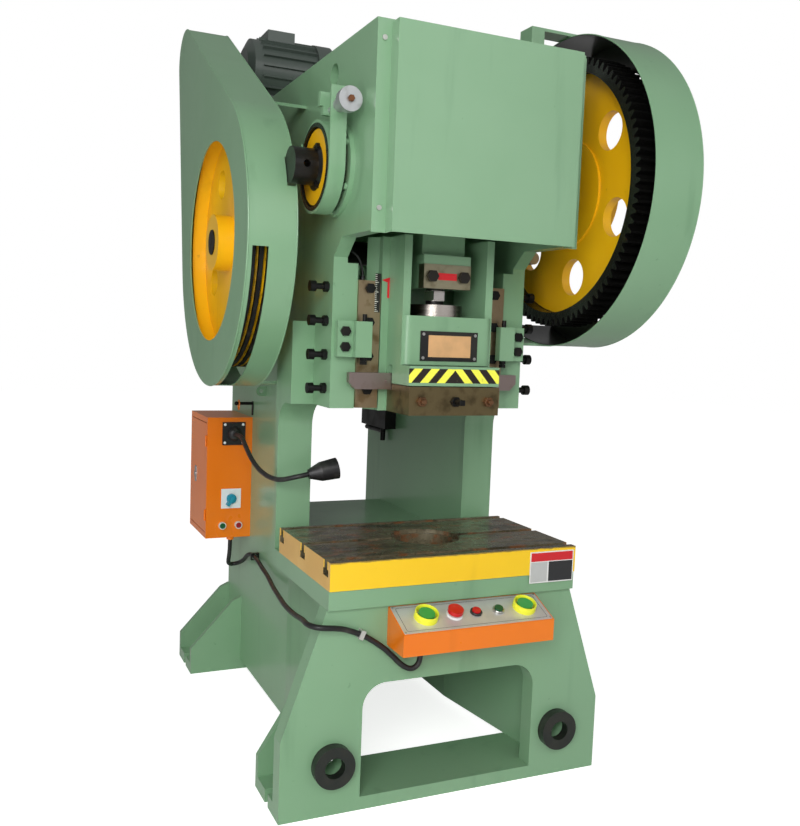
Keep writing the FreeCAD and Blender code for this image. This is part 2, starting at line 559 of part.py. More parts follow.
def connecting_rod():
    """The rod with its eye on the crank pin, its split foot and the clamp across the split."""
    eye = rod("x", "rod_eye", ("-rod_half", "rod_half"), "0", PIN_Z)
    shank = box(("-rod_half + rod_waist", "rod_half - rod_waist"), ("-rod_front + rod_set_back", "rod_front"),
                ("rod_low", PIN_Z))
    foot = box(("-rod_half", "rod_half"), ("-rod_front", "rod_front"), ("rod_low", "rod_foot_top"))
    notch_tool = box(("-rod_half - 1", "rod_half + 1"), ("-rod_front - 1", "-rod_front + rod_clamp_deep"),
                     ("rod_low - 1", "rod_clamp_top"))
    pin_bore = rod("x", "pin_radius + fit_gap", ("-rod_half - 1", "rod_half + 1"), "0", PIN_Z)
    screw_bore = rod("z", "screw_radius + fit_gap", ("rod_low - 1", "screw_top + 6"), "0", "0")
    node(cut(fuse(eye, shank, foot), notch_tool, pin_bore, screw_bore), "connecting_rod")
    block = box(("-rod_half", "rod_half"), ("-rod_front - 3", "-rod_front + rod_clamp_deep - fit_gap"),
                ("rod_low", "rod_clamp_top"))
    mid = "(rod_low + rod_clamp_top) / 2"
    heads = [hexagon("y", "clamp_hex", ("-rod_front - 3 - clamp_head", "-rod_front - 3"), x, mid)
             for x in ("-rod_half + 22", "rod_half - 22")]
    node(fuse(block, *heads), "rod_clamp")


def ball_screw():
    """The adjusting screw: thread in the rod, spanner hexagon, neck and ball."""
    thread = rod("z", "screw_radius", ("rod_low + 2", "screw_top"), "0", "0")
    neck = rod("z", "neck_radius", ("ball_z", "rod_low + 2"), "0", "0")
    spanner = hexagon("z", "hex_flats", ("hex_low", "hex_high"), "0", "0")
    ball = place(bind(DOC.addObject("Part::Sphere", "Ball"), Radius="ball_radius"), "0", "0", "ball_z")
    node(fuse(thread, neck, spanner, ball), "ball_screw")


# ---------------------------------------------------------------- slide
def vee(grow):
    """Plan points of the V-guide from its front to its rear, moved outwards by a gap."""
    return [(f"guide_half + {grow}", "vee_y - vee_half"), (f"guide_half + vee_reach + {grow}", "vee_y"),
            (f"guide_half + {grow}", "vee_y + vee_half")]


CLAMP_TOP = "(bar_low + clamp_rise)"


def slide():
    """The slide: lower block with the ledge, rounded front panel, cheeks, V-guides and ball pocket."""
    half = ("-slide_half", "slide_half")
    lower = box(half, ("seat_gap", "slide_rear"), ("slide_low", "ledge_top"))
    ledge = box(half, ("ledge_front", "seat_gap"), (f"{CLAMP_TOP} + clamp_gap", "ledge_top"))
    seat = box(half, ("slide_front", "slide_rear"), ("ledge_top", "panel_top"))
    panel = pad("XY_Plane", [("-slide_half", "panel_front"), ("slide_half", "panel_front"),
                             ("slide_half", "slide_front + 30"), ("-slide_half", "slide_front + 30")],
                ("ledge_top", "panel_top"), rounds=[("panel_round", [0, 1])])
    cheek = box(("slide_half - cheek_thick", "slide_half"), ("slide_front", "slide_rear"),
                ("panel_top", "slide_top"))
    guide = pad("XY_Plane", [("slide_half", "guide_front"), ("guide_half", "guide_front"), *vee("0"),
                             ("guide_half", "slide_rear"), ("slide_half", "slide_rear")],
                ("slide_low", "slide_top"))
    slot = box(("-slide_half - 40", "slide_half + 40"), ("bar_slot_front", "bar_slot_rear"),
               ("bar_low - seat_gap", "bar_slot_top"))
    pocket = rod("z", "pocket_radius", ("pocket_low", "panel_top + 1"), "0", "0")
    way = box(("-slot_side", "slot_side"), ("0", "slide_rear + 1"), ("pocket_low", "panel_top + 1"))
    shank = rod("z", "shank_bore", ("slide_low - 1", "bar_low - seat_gap"), "0", "0")
    pin_hole = rod("z", "shank_bore / 2", ("slide_low - 1", "pocket_low + 1"), "0", "0")
    body = fuse(lower, ledge, seat, panel, both(cheek), both(guide))
    corner = box(half, ("panel_front - 1", "slide_front"), ("ledge_top", "ledge_top + 2"))
    node(cut(body, slot, pocket, way, shank, pin_hole, corner), "slide")


def ball_cap():
    """The steel ring on the slide that holds the ball, open to the rear for the screw's neck."""
    high = ("panel_top + seat_gap", "cap_ring_low + cap_ring_thick")
    ring = rod("z", "cap_ring", high, "0", "0")
    gap = "neck_radius + 3"
    neck = rod("z", gap, ("cap_ring_low - 9", "cap_ring_low + cap_ring_thick + 1"), "0", "0")
    way = box((f"-({gap})", gap), ("0", "cap_ring + 1"), ("cap_ring_low - 9", "cap_ring_low + cap_ring_thick + 1"))
    node(cut(ring, neck, way), "ball_cap")


def warning_plate():
    """The plain plate screwed to the slide's panel, with its four screws."""
    plate = box(("-warning_half", "warning_half"), ("panel_front - warning_thick", "panel_front"),
                ("warning_low", "warning_top"))
    screws = [both(rod("y", "4", ("panel_front - warning_thick - 2", "panel_front - warning_thick"),
                       "warning_half - 8", z)) for z in ("warning_low + 8", "warning_top - 8")]
    node(fuse(plate, *screws), "warning_plate")


def shank_clamp():
    """The removable clamp block for the tool shank, with its three bolts."""
    block = box(("-clamp_half", "clamp_half"), ("clamp_front", "0"), ("slide_low", CLAMP_TOP))
    bore = rod("z", "shank_bore", ("slide_low - 1", "bar_low - seat_gap"), "0", "0")
    way = box(("-clamp_half - 1", "clamp_half + 1"), ("bar_slot_front", "1"),
              ("bar_low - seat_gap", f"{CLAMP_TOP} + 1"))
    heads = [hexagon("y", "clamp_hex", ("clamp_front - clamp_head", "clamp_front"), x, "clamp_bolt_z")
             for x in ("-clamp_bolt_x", "clamp_bolt_x")]
    middle = [rod("y", "clamp_bolt", ("clamp_front - clamp_head - 6", "clamp_front"), "0", "clamp_bolt_z"),
              hexagon("y", "clamp_hex - 5", ("clamp_front - clamp_head - 10", "clamp_front - 5"), "0",
                      "clamp_bolt_z")]
    node(fuse(cut(block, bore, way), *heads, *middle), "shank_clamp")


def gibs():
    """The two gibs with their V-grooves, and the bolts that hold and push them."""
    grow = "fit_gap"
    gib = pad("XY_Plane", [("carrier_in - seat_gap", "gib_front"), ("gib_in", "gib_front"),
                           ("gib_in", f"vee_y - vee_half - {grow} - (gib_in - guide_half)"),
                           ("guide_half + vee_reach + 2 * fit_gap", "vee_y"),
                           ("gib_in", f"vee_y + vee_half + {grow} + (gib_in - guide_half)"),
                           ("gib_in", "gib_rear - seat_gap"), ("carrier_in - seat_gap", "gib_rear - seat_gap")],
              ("gib_low", "gib_top"))
    node(both(gib), "gibs")
    heads = [both(hexagon("y", "gib_hex", ("gib_front - gib_head", "gib_front"), "gib_bolt_x", z))
             for z in push_rows()]
    front = [both(hexagon("y", "gib_hex", ("bracket_low_front - gib_head", "bracket_low_front"),
                          "bracket_bolt_x", z)) for z in ("bracket_bolt_low", "bracket_bolt_high")]
    node(fuse(*heads, *front), "front_bolts")
    pushers = []
    for z in push_rows():
        shank = rod("x", "gib_bolt", ("carrier_in", "push_reach"), "push_y", z)
        head = rod("x", "push_head", ("push_reach - 16", "push_reach"), "push_y", z)
        nut = hexagon("x", "gib_hex", (WALL_OUT, f"{WALL_OUT} + push_nut"), "push_y", z)
        pushers.append(both(fuse(shank, head, nut)))
    node(fuse(*pushers), "adjusting_bolts")


def knockout():
    """Knock-out bar through the slide, its two brackets and the stop screws over it."""
    rear = "bar_front + bar_thick"
    bar = pad("XZ_Plane", [
        ("-bar_half", "bar_low + bar_cut"), ("-bar_half + bar_cut", "bar_low"), ("bar_half - bar_cut", "bar_low"),
        ("bar_half", "bar_low + bar_cut"), ("bar_half", "bar_low + bar_high"), ("-bar_half", "bar_low + bar_high")],
        ("bar_front", rear))
    pins = both(rod("y", "3", ("bar_front - 8", "bar_front"), "slide_half + 14", "bar_low + bar_high / 2"))
    node(fuse(bar, pins), "knockout_bar")
    bracket = pad("XY_Plane", [
        ("bracket_out", "upright_y"), ("bracket_in + 33", "upright_y"), ("bracket_in + 33", "bracket_back"),
        ("bracket_in", "bracket_back"), ("bracket_in", "bracket_front"), ("bracket_step", "bracket_front"),
        ("bracket_step", "bracket_low_front"), ("bracket_out", "bracket_low_front")],
        ("bracket_low", "bracket_top"))
    node(both(cut(bracket, rod("z", "stop_radius + bolt_gap", ("bracket_low - 1", "bracket_top + 1"),
                               "stop_x", "stop_y"))), "knockout_brackets")
    screw = fuse(rod("z", "stop_radius", ("stop_tip", "stop_end"), "stop_x", "stop_y"),
                 hexagon("z", "stop_hex", ("stop_tip", "stop_tip + 9"), "stop_x", "stop_y"),
                 hexagon("z", "stop_hex", ("bracket_low - 9", "bracket_low"), "stop_x", "stop_y"))
    node(both(screw), "stop_screws")


def clutch_linkage():
    """The clutch pin outside the right wall, and the linkage box and lever inside it."""
    pin = rod("y", "clutch_pin", ("-5", "upright_y + 60"), f"{WALL_OUT} + clutch_pin + seat_gap", "clutch_z")
    case = box(("linkage_in", "wall_in"), ("linkage_front", "linkage_rear"), ("linkage_low", "linkage_top"))
    lever = rod("z", "lever_radius", ("lever_low", "linkage_low"), "wall_in - 16", "lever_y")
    bar = rod("y", "lever_radius", ("lever_y", "linkage_rear + 6"), "wall_in - 16", "linkage_low - 14")
    node(fuse(case, lever, bar, pin), "clutch_linkage")


# ---------------------------------------------------------------- gears
def flank(teeth, radius, shrink):
    """Half the angle that a tooth fills at a radius, less its share of the play."""
    module, pressure = value("gear_module"), math.radians(20)
    pitch = module * teeth / 2
    base = pitch * math.cos(pressure)
    spread = math.acos(min(1.0, base / radius))
    roll = (math.tan(pressure) - pressure) - (math.tan(spread) - spread)
    return math.pi / (2 * teeth) - shrink / (4 * pitch) + roll


def toothed_face(teeth, phase):
    """A gear's face across the X axis: straight-sided steps along each involute flank."""
    module, play = value("gear_module"), value("tooth_play")
    pitch = module * teeth / 2
    root, tip = pitch - 1.25 * module, pitch + module
    rings = (max(root, pitch * math.cos(math.radians(20))), pitch, tip)
    points = []
    for tooth in range(teeth):
        middle = phase + 2 * math.pi * tooth / teeth
        half = [flank(teeth, radius, play) for radius in rings]
        sides = [(root, -half[0])] + [(r, -a) for r, a in zip(rings, half)]
        sides += [(r, a) for r, a in reversed(list(zip(rings, half)))] + [(root, half[0])]
        for radius, turn in sides:
            point = Vector(0, radius * math.cos(middle + turn), radius * math.sin(middle + turn))
            if not points or point.distanceToPoint(points[-1]) > 0.05:
                points.append(point)
    return Part.Face(Part.makePolygon(points + [points[0]]))


def toothed(teeth, phase, left, width):
    """A toothed disc about the X axis, from its left face."""
    face = toothed_face(teeth, phase)
    face.translate(Vector(left, 0, 0))
    return face.extrude(Vector(width, 0, 0))


def disc(radius, left, right, y=0.0, z=0.0):
    """A plain disc about an axis along X."""
    return Part.makeCylinder(radius, right - left, Vector(left, y, z), Vector(1, 0, 0))


def big_gear():
    """The big gear, free on the crankshaft while the clutch is out: rim, web with holes, and boss."""
    left, right = value("gear_face"), value(GEAR_BACK)
    mesh = -math.radians(value("mesh_angle"))
    shape = toothed(int(value("gear_teeth")), mesh, left, right - left)
    inner, web_left = value("web_radius"), left + value("web_inset")
    web_right = web_left + value("web_thick")
    boss = value("gear_boss")
    for low, high in ((left - 1, web_left), (web_right, right + 1)):
        shape = shape.cut(disc(inner, low, high))
    shape = shape.fuse(disc(boss, web_left - value("gear_boss_step"), right + value("gear_hub_reach")))
    holes = []
    for number in range(6):
        turn = math.radians(20 + 60 * number)
        circle = value("gear_hole_circle")
        holes.append(disc(value("gear_hole"), left, right, circle * math.cos(turn), circle * math.sin(turn)))
    shape = shape.cut(Part.makeCompound(holes))
    bore = value("journal + fit_gap")
    shape = shape.cut(disc(bore, left - 1, right + value("gear_hub_reach") + 1))
    thing = formed(shape, "big_gear")
    place(thing, "0", "0", "crank_z")


def drive_shaft():
    """The drive shaft with the pinion cut on its right end and a keyway in its left end."""
    teeth = int(value("pinion_teeth"))
    mesh = math.radians(180 - value("mesh_angle"))
    pinion = toothed(teeth, mesh + math.pi / teeth, value("gear_face") - 4, value("gear_width") + 8)
    shaft = disc(value("drive_radius"), -value("drive_end_x"), value("drive_right_end"))
    key, deep = value("key_wide"), value("key_deep")
    slot = Part.makeBox(value("drive_end_x - wheel_right"), key, deep + 1,
                        Vector(-value("drive_end_x"), -key / 2, value("drive_radius") - deep))
    thing = formed(pinion.fuse(shaft).cut(slot).removeSplitter(), "drive_shaft")
    place(thing, "0", SHAFT_Y, SHAFT_Z)


# ---------------------------------------------------------------- flywheel, belts, motor
def belt_centres():
    """The X places of the belts, centred on the flywheel's rim."""
    rows = int(value("belt_rows"))
    middle = -value("(wheel_left + wheel_right) / 2")
    return [middle + (row - (rows - 1) / 2) * value("belt_pitch") for row in range(rows)]


def grooved(radius, left, right, core):
    """Points of a grooved rim's section, X and radius, from its left face."""
    top, deep, gap = value("belt_top") / 2, value("belt_deep"), value("fit_gap")
    points = [(left, core), (left, radius)]
    for x in belt_centres():
        points += [(x - top - gap, radius), (x - top * 0.62 - gap, radius - deep - gap),
                   (x + top * 0.62 + gap, radius - deep - gap), (x + top + gap, radius)]
    return points + [(right, radius), (right, core)]


def turned(points):
    """A solid turned about the X axis from points of X and radius."""
    corners = [Vector(x, radius, 0) for x, radius in points]
    return Part.Face(Part.makePolygon(corners + [corners[0]])).revolve(Vector(), Vector(1, 0, 0), 360)


def flywheel():
    """The flywheel: grooved rim, web with three round holes, and hub on the drive shaft."""
    left, right = -value("wheel_left"), -value("wheel_right")
    radius, rim = value("wheel_radius"), value("wheel_rim")
    middle, web = (left + right) / 2, value("wheel_web") / 2
    bore = value("drive_radius + fit_gap")
    shape = turned(grooved(radius, left, right, radius - rim))
    shape = shape.fuse(disc(radius - rim + 1, middle - web, middle + web))
    shape = shape.fuse(disc(value("wheel_hub"), -value("wheel_hub_left"), right))
    holes = [disc(bore, left - 20, right + 20)]
    for number in range(4):
        turn, circle = math.radians(60 + 90 * number), value("wheel_hole_circle")
        holes.append(disc(value("wheel_hole"), left, right, circle * math.cos(turn), circle * math.sin(turn)))
    thing = formed(shape.cut(Part.makeCompound(holes)).removeSplitter(), "flywheel")
    place(thing, "0", SHAFT_Y, SHAFT_Z)


def tangent_loop(first, first_radius, second, second_radius):
    """The outline round two circles in the YZ plane: two arcs joined by their outer tangents."""
    between = second - first
    distance = between.Length
    heading = math.atan2(between.z, between.y)
    tilt = math.acos((first_radius - second_radius) / distance)

    def at(centre, radius, angle):
        return centre + Vector(0, math.cos(angle), math.sin(angle)) * radius

    a, b = at(first, first_radius, heading + tilt), at(first, first_radius, heading - tilt)
    c, d = at(second, second_radius, heading - tilt), at(second, second_radius, heading + tilt)
    return Part.Wire([Part.Arc(a, at(first, first_radius, heading + math.pi), b).toShape(),
                      Part.makeLine(b, c), Part.Arc(c, at(second, second_radius, heading), d).toShape(),
                      Part.makeLine(d, a)])


def drive_centres():
    """The centres of the flywheel and the motor pulley in the plane across X."""
    return Vector(0, value(SHAFT_Y), value(SHAFT_Z)), Vector(0, value("motor_y"), value("motor_z"))


def belts():
    """The V-belts between the flywheel and the motor pulley."""
    wheel, motor = drive_centres()
    deep, top = value("belt_deep"), value("belt_top") / 2
    loops = []
    for x in belt_centres():
        sections = []
        for sink, half in ((0.0, top), (deep, top * 0.62)):
            wire = tangent_loop(wheel, value("wheel_radius") - sink, motor, value("pulley_radius") - sink)
            sections.append((wire, half))
        (outer, half_top), (inner, half_low) = sections
        solid, hollow = (Part.Face(wire).extrude(Vector(2 * half, 0, 0)) for wire, half in
                         ((outer, half_low), (inner, half_top)))
        hollow.translate(Vector(half_low - half_top, 0, 0))
        loop = solid.cut(hollow)
        loop.translate(Vector(x - half_low, 0, 0))
        loops.append(loop)
    formed(Part.makeCompound(loops), "v_belts")


def motor():
    """The motor with its ribbed body, feet, terminal box and bed plate, and the pulley on its shaft."""
    fins = []
    body_left, body_right = -value("motor_left"), -value("motor_right")
    radius, fin = value("motor_radius"), value("motor_fin")
    body = turned([(body_left, 0), (body_left, radius * 0.62), (body_left + 16, radius * 0.9),
                   (body_left + 40, radius * 0.9), (body_left + 40, radius * 0.88),
                   (body_right - 62, radius * 0.88), (body_right - 62, radius), (body_right - 8, radius),
                   (body_right, radius * 0.9), (body_right, 0)])
    for number in range(20):
        blade = Part.makeBox(body_right - body_left - 110, fin, radius * 0.98,
                             Vector(body_left + 44, -fin / 2, 0))
        blade.rotate(Vector(), Vector(1, 0, 0), 18 * number)
        fins.append(blade)
    shape = body.multiFuse(fins)
    down = -value("motor_z - top_z - motor_bed")
    foot = value("motor_foot")
    half = value("motor_bed_half")
    for x in (body_left + 60, body_right - 130):
        shape = shape.fuse(Part.makeBox(40, 2 * half * 0.86, foot, Vector(x, -half * 0.86, down)))
        shape = shape.fuse(Part.makeBox(30, half, -down - radius * 0.5, Vector(x + 5, -half / 2, down)))
    shape = shape.fuse(Part.makeBox(90, 90, 40, Vector(body_left + 70, -45, radius * 0.8)))
    thing = formed(shape, "motor")
    place(thing, "0", "motor_y", "motor_z")
    left, right = -value("wheel_left"), -value("wheel_right")
    shape = turned(grooved(value("pulley_radius"), left, right, 0))
    shape = shape.fuse(disc(value("motor_shaft"), right - 10, -value("motor_left + seat_gap")))
    thing = formed(shape, "motor_pulley")
    place(thing, "0", "motor_y", "motor_z")


# ---------------------------------------------------------------- guards
def sector(radius_in, radius_out, left, right, low, high):
    """A ring sector about the X axis between two angles in degrees."""
    ring = disc(radius_out, left, right).cut(disc(radius_in, left - 1, right + 1))
    reach = radius_out * 4
    wedge = [Vector(left - 1, 0, 0)]
    steps = max(2, math.ceil((high - low) / 60))
    for step in range(steps + 1):
        turn = math.radians(low + (high - low) * step / steps)
        wedge.append(Vector(left - 1, reach * math.cos(turn), reach * math.sin(turn)))
    tool = Part.Face(Part.makePolygon(wedge + [wedge[0]])).extrude(Vector(right - left + 2, 0, 0))
    return ring.common(tool)


def flywheel_guard():
    """The teardrop guard: a face with a round opening and a band round it with a long slot."""
    wheel, motor_centre = drive_centres()
    left, right, sheet = -value("guard_face"), -value("guard_inner"), value("sheet")
    big, small = value("guard_radius"), value("guard_small")
    face = Part.Face(tangent_loop(wheel, big, motor_centre, small))
    face.translate(Vector(left, 0, 0))
    solid = face.extrude(Vector(right - left, 0, 0))
    inner = Part.Face(tangent_loop(wheel, big - sheet, motor_centre, small - sheet))
    inner.translate(Vector(left + sheet, 0, 0))
    shell = solid.cut(inner.extrude(Vector(right - left, 0, 0)))
    opening = disc(value("guard_opening"), left - 1, left + sheet + 1, wheel.y, wheel.z)
    slot_left = -value("guard_slot_left")
    slot = sector(big - 4 * sheet, big + sheet, slot_left, slot_left + value("guard_slot_wide"),
                  value("guard_slot_from"), value("guard_slot_to"))
    slot.translate(wheel)
    way = disc(value("shaft_end + notch_gap"), -value("shaft_end_x") - 2, right + 1, 0, value("crank_z"))
    formed(shell.cut(opening).cut(slot).cut(way), "flywheel_guard")


def gear_guard():
    """The band guard over the front of the big gear, with a lip at its left edge."""
    left, right, sheet = value("band_left"), value("band_right"), value("sheet")
    radius = value("band_radius")
    low, high = value("band_from"), value("band_to")
    band = sector(radius - sheet, radius, left, right, low, high)
    lip = sector(radius - 14, radius, right - sheet, right, low, high)
    thing = formed(band.fuse(lip).removeSplitter(), "gear_guard")
    place(thing, "0", "0", "crank_z")


def stay(left, right, radius, turn, centre):
    """A flat arm along X whose middle lies at a radius and an angle round a centre."""
    wide, thick = value("stay_wide"), value("stay_thick")
    angle = math.radians(turn)
    arm = Part.makeBox(right - left, wide, thick, Vector(left, -wide / 2, -thick / 2))
    arm.rotate(Vector(), Vector(1, 0, 0), turn - 90)
    arm.translate(Vector(0, math.cos(angle), math.sin(angle)) * radius + centre)
    return arm


def guard_stays():
    """The arms that carry the two guards on the walls, and the post on the head."""
    wall, thick, wide = value(WALL_OUT), value("stay_thick"), value("stay_wide")
    wheel, _ = drive_centres()
    inside = math.sqrt(value("guard_radius - sheet - seat_gap") ** 2 - wide ** 2 / 4) - thick / 2
    arms = [stay(-value("guard_inner") - 40, -wall, inside, turn, wheel) for turn in (104, 262, 345)]
    gear = Vector(0, 0, value("crank_z"))
    outside = value("band_radius + seat_gap") + thick / 2
    arms.append(stay(wall, value("band_left") + 60, outside, 284, gear))
    arms.append(stay(wall - 40, value("band_left") + 60, outside, 90, gear))
    arms.append(Part.makeBox(40, wide, outside - thick / 2 - value("top_z - crank_z"),
                             Vector(wall - 40, -wide / 2, value("top_z"))))
    radius, flat = value("lug_radius"), value("lug_radius") * 2
    eye = Vector(-wall - radius, value("lug_y"), value("lug_z"))
    lug = Part.makeCylinder(radius, thick / 2, eye, Vector(0, 1, 0))
    lug = lug.fuse(Part.makeBox(radius, thick / 2, flat, eye - Vector(0, 0, radius)))
    arms.append(lug.cut(Part.makeCylinder(value("lug_hole"), wide, eye - Vector(0, 1, 0), Vector(0, 1, 0))))
    formed(Part.makeCompound(arms), "guard_stays")


# ---------------------------------------------------------------- cabinet and lamp
def cabinet():
    """The electric cabinet on the left wall: case, door with lip and lock, lamps and switch."""
    inner, sheet = f"-{WALL_OUT}", "cabinet_sheet"
    face = f"-{CABINET_FACE}"
    case = box((face, inner), ("cabinet_front", "cabinet_rear"), ("cabinet_low", "cabinet_top"))
    room = box((f"{face} + {sheet}", f"{inner} - {sheet}"),
               (f"cabinet_front + {sheet}", f"cabinet_rear - {sheet}"),
               (f"cabinet_low + {sheet}", f"cabinet_top - {sheet}"))
    doorway = box((f"{face} - 1", f"{face} + {sheet} + 1"),
                  ("cabinet_front + door_side", "cabinet_rear - door_side"),
                  ("cabinet_low + lip", "cabinet_top - lip"))
    gland = rod("z", "cable_radius + 5", ("cabinet_low - 10", "cabinet_low"), "-mount_x",
                "cabinet_front + gland_in")
    gland_bore = rod("z", "cable_radius + fit_gap", ("cabinet_low - 11", "cabinet_low + 3"), "-mount_x",
                     "cabinet_front + gland_in")
    plate = box(("-knob_x - knob_plate / 2", "-knob_x + knob_plate / 2"), ("cabinet_front - 3", "cabinet_front"),
                ("knob_z - knob_plate / 2", "knob_z + knob_plate / 2"))
    node(cut(fuse(cut(case, room, doorway), gland, plate), gland_bore,
             rod("y", "stem / 2 + bolt_gap", ("cabinet_front - 4", "cabinet_front + 3"), "-knob_x", "knob_z")),
         "electric_cabinet")
    side = "(door_side + door_gap)"
    door = box((face, f"{face} + door_thick"), (f"cabinet_front + {side}", f"cabinet_rear - {side}"),
               ("cabinet_low + lip + door_gap", "cabinet_top - lip - door_gap"))
    lock = rod("x", "lock_radius", (f"-({CABINET_FACE} + 5)", f"-{CABINET_FACE}"), "cabinet_rear - lock_in",
               "lock_z")
    leaves, axis_x = [], f"{face} - barrel - fit_gap"
    axis_y = "(cabinet_front + door_side + door_gap / 2)"
    for low in ("cabinet_low + barrel_in", "cabinet_top - barrel_in - barrel_high"):
        ends = (low, f"{low} + barrel_high")
        leaves.append(rod("z", "barrel", ends, axis_x, axis_y))
        leaves.append(box((axis_x, f"{face} + 1"), (axis_y, f"{axis_y} + barrel_leaf"), ends))
    node(fuse(door, lock, *leaves), "cabinet_door")
    lamps = [rod("y", "lamp_radius", ("cabinet_front - lamp_reach", "cabinet_front"), f"-{x}", "lamp_z")
             for x in ("lamp_left_x", "lamp_right_x")]
    node(fuse(*lamps), "indicator_lamps")


def switch():
    """The rotary switch: a round base with a slanting grip, on a stem through its plate."""
    forward = Vector(0, -1, 0)
    centre = Vector(-value("knob_x"), value("cabinet_front - 3 - fit_gap"), value("knob_z"))
    deep, wide, down = value("knob_reach") / 2, value("grip_wide"), value("grip_down")
    base = Part.makeCylinder(value("knob_radius"), deep, centre, forward)
    grip = Part.makeBox(wide, 2 * deep, down + value("grip_up"), Vector(-wide / 2, -2 * deep, -down))
    grip.rotate(Vector(), Vector(0, 1, 0), value("grip_turn"))
    grip.translate(centre)
    stem = Part.makeCylinder(value("stem") / 2, deep, centre - forward * deep, forward)
    formed(base.fuse(grip).fuse(stem).removeSplitter(), "switch_knob")


BEND_SHARE = 0.45


def bent_path(points):
    """Straight runs through the points, joined by tangent arcs as large as the runs beside them allow."""
    poles = [Vector(*point) for point in points]
    edges, start = [], poles[0]
    for before, corner, after in zip(poles, poles[1:], poles[2:]):
        back, ahead = before - corner, after - corner
        reach = BEND_SHARE * min(back.Length, ahead.Length)
        back.normalize()
        ahead.normalize()
        inward = back + ahead
        inward.normalize()
        half_turn = (math.pi - back.getAngle(ahead)) / 2
        radius = reach / math.tan(half_turn)
        centre = corner + inward * (radius / math.cos(half_turn))
        first, last = corner + back * reach, corner + ahead * reach
        edges.append(Part.LineSegment(start, first).toShape())
        edges.append(Part.Arc(first, centre - inward * radius, last).toShape())
        start = last
    edges.append(Part.LineSegment(start, poles[-1]).toShape())
    return Part.Wire(edges)


def tube(points, radius):
    """A round tube along a bent path, and the way it points at its end."""
    poles = [Vector(*point) for point in points]
    ring = Part.Wire(Part.makeCircle(radius, poles[0], poles[1] - poles[0]))
    heading = poles[-1] - poles[-2]
    heading.normalize()
    return bent_path(points).makePipeShell([ring], True, False), heading


LAMP_NECK = [(-349, 690, 842), (-354, 620, 841), (-361, 540, 818), (-368, 450, 796), (-370, 360, 778),
             (-367, 270, 771), (-352, 210, 771), (-316, 179, 784), (-281, 176.5, 791)]


def gooseneck():
    """The square lamp mount with the bent neck, and the shade on its end."""
    half, front = value("mount_half"), value("cabinet_front")
    x, z, thick = -value("mount_x"), value("mount_z"), value("mount_thick")
    plate = Part.makeBox(2 * half, thick, 2 * half, Vector(x - half, front - thick, z - half))
    neck, heading = tube([(x, front - thick + 1, z), *LAMP_NECK], value("neck_tube"))
    socket = Part.makeCylinder(14, 16, Vector(x, front - thick, z), Vector(0, -1, 0))
    formed(Part.makeCompound([plate.fuse(socket).fuse(neck)]), "lamp_neck")
    small, mid, large, cone, long, wall = (value(name) for name in (
        "shade_small", "shade_mid", "shade_large", "shade_cone", "shade_long", "shade_wall"))
    outline_points = [(0, 0), (0, small), (cone, mid), (long, large), (long, large - wall),
                      (cone + wall, mid - wall), (4 * wall, small - wall), (4 * wall, 0)]
    shade = turned(outline_points)
    turn = FreeCAD.Rotation(Vector(1, 0, 0), heading)
    shade.Placement = FreeCAD.Placement(Vector(*LAMP_NECK[-1]) + heading * value("seat_gap"), turn)
    formed(Part.makeCompound([shade]), "lamp_shade")


# ---------------------------------------------------------------- control box
def tilt():
    """The slope of the control panel, in degrees above the front."""
    return math.degrees(math.atan2(value("box_top - box_edge"), value("front_y - box_front")))


def panel_point(x, lift):
    """A point over the panel's middle line: X, and the height above the panel."""
    slope = math.radians(tilt())
    y = value("button_mid")
    z = value("box_edge") + (y - value("box_front")) * math.tan(slope)
    return Vector(x, y - lift * math.sin(slope), z + lift * math.cos(slope))


def panel_disc(radius, x, low, high):
    """A disc square to the panel between two heights above it."""
    slope = math.radians(tilt())
    way = Vector(0, -math.sin(slope), math.cos(slope))
    return Part.makeCylinder(radius, high - low, panel_point(x, low), way)


def control_box():
    """The two-hand control box with its sloping panel, shrouds, buttons and emergency stop."""
    housing = pad("YZ_Plane", [("front_y", "box_low"), ("front_y", "box_top"), ("box_front", "box_edge"),
                               ("box_front", "box_low")], ("-box_left", "box_right"))
    stem, gap = value("stem"), value("bolt_gap")
    places = {"palm_left": -value("palm_left_x"), "palm_right": value("palm_right_x"),
              "emergency_stop": -value("stop_button_x"), "red_button": value("red_x"),
              "green_button": value("green_x")}
    bores = [panel_disc(stem + gap, x, -20, 1) for x in places.values()]
    gland = rod("z", "cable_radius + 5", ("box_low - 10", "box_low"), "-palm_left_x", "button_mid + 20")
    gland_bore = rod("z", "cable_radius + fit_gap", ("box_low - 11", "box_low + 3"), "-palm_left_x",
                     "button_mid + 20")
    node(cut(fuse(housing, gland), gland_bore, formed(Part.makeCompound(bores), "")), "control_box")
    outer, wall, high = value("shroud_radius"), value("shroud_wall"), value("shroud_high")
    shrouds = []
    for name in ("palm_left", "palm_right"):
        ring = panel_disc(outer, places[name], 0, high).cut(panel_disc(outer - wall, places[name], -1, high + 1))
        mouth = panel_point(places[name], 0) + Vector(-outer * 0.55, -outer * 1.6, -6)
        shrouds.append(ring.cut(Part.makeBox(outer * 1.1, outer * 1.3, high * 2, mouth)))
    formed(Part.makeCompound(shrouds), "button_shrouds")
    caps = {"palm_left": ("palm_radius", 14, 8, "palm_travel"), "palm_right": ("palm_radius", 14, 8, "palm_travel"),
            "emergency_stop": ("stop_button", 18, 10, "stop_travel"),
            "red_button": ("small_button", 9, 5, "button_travel"),
            "green_button": ("small_button", 9, 5, "button_travel")}
    for name, (radius, top, thick, travel) in caps.items():
        x = places[name]
        head = panel_disc(value(radius), x, top - thick + value(travel) * 0.5, top + value(travel) * 0.5)
        post = panel_disc(stem, x, -14, top - thick + value(travel) * 0.5)
        formed(head.fuse(post).removeSplitter(), name)


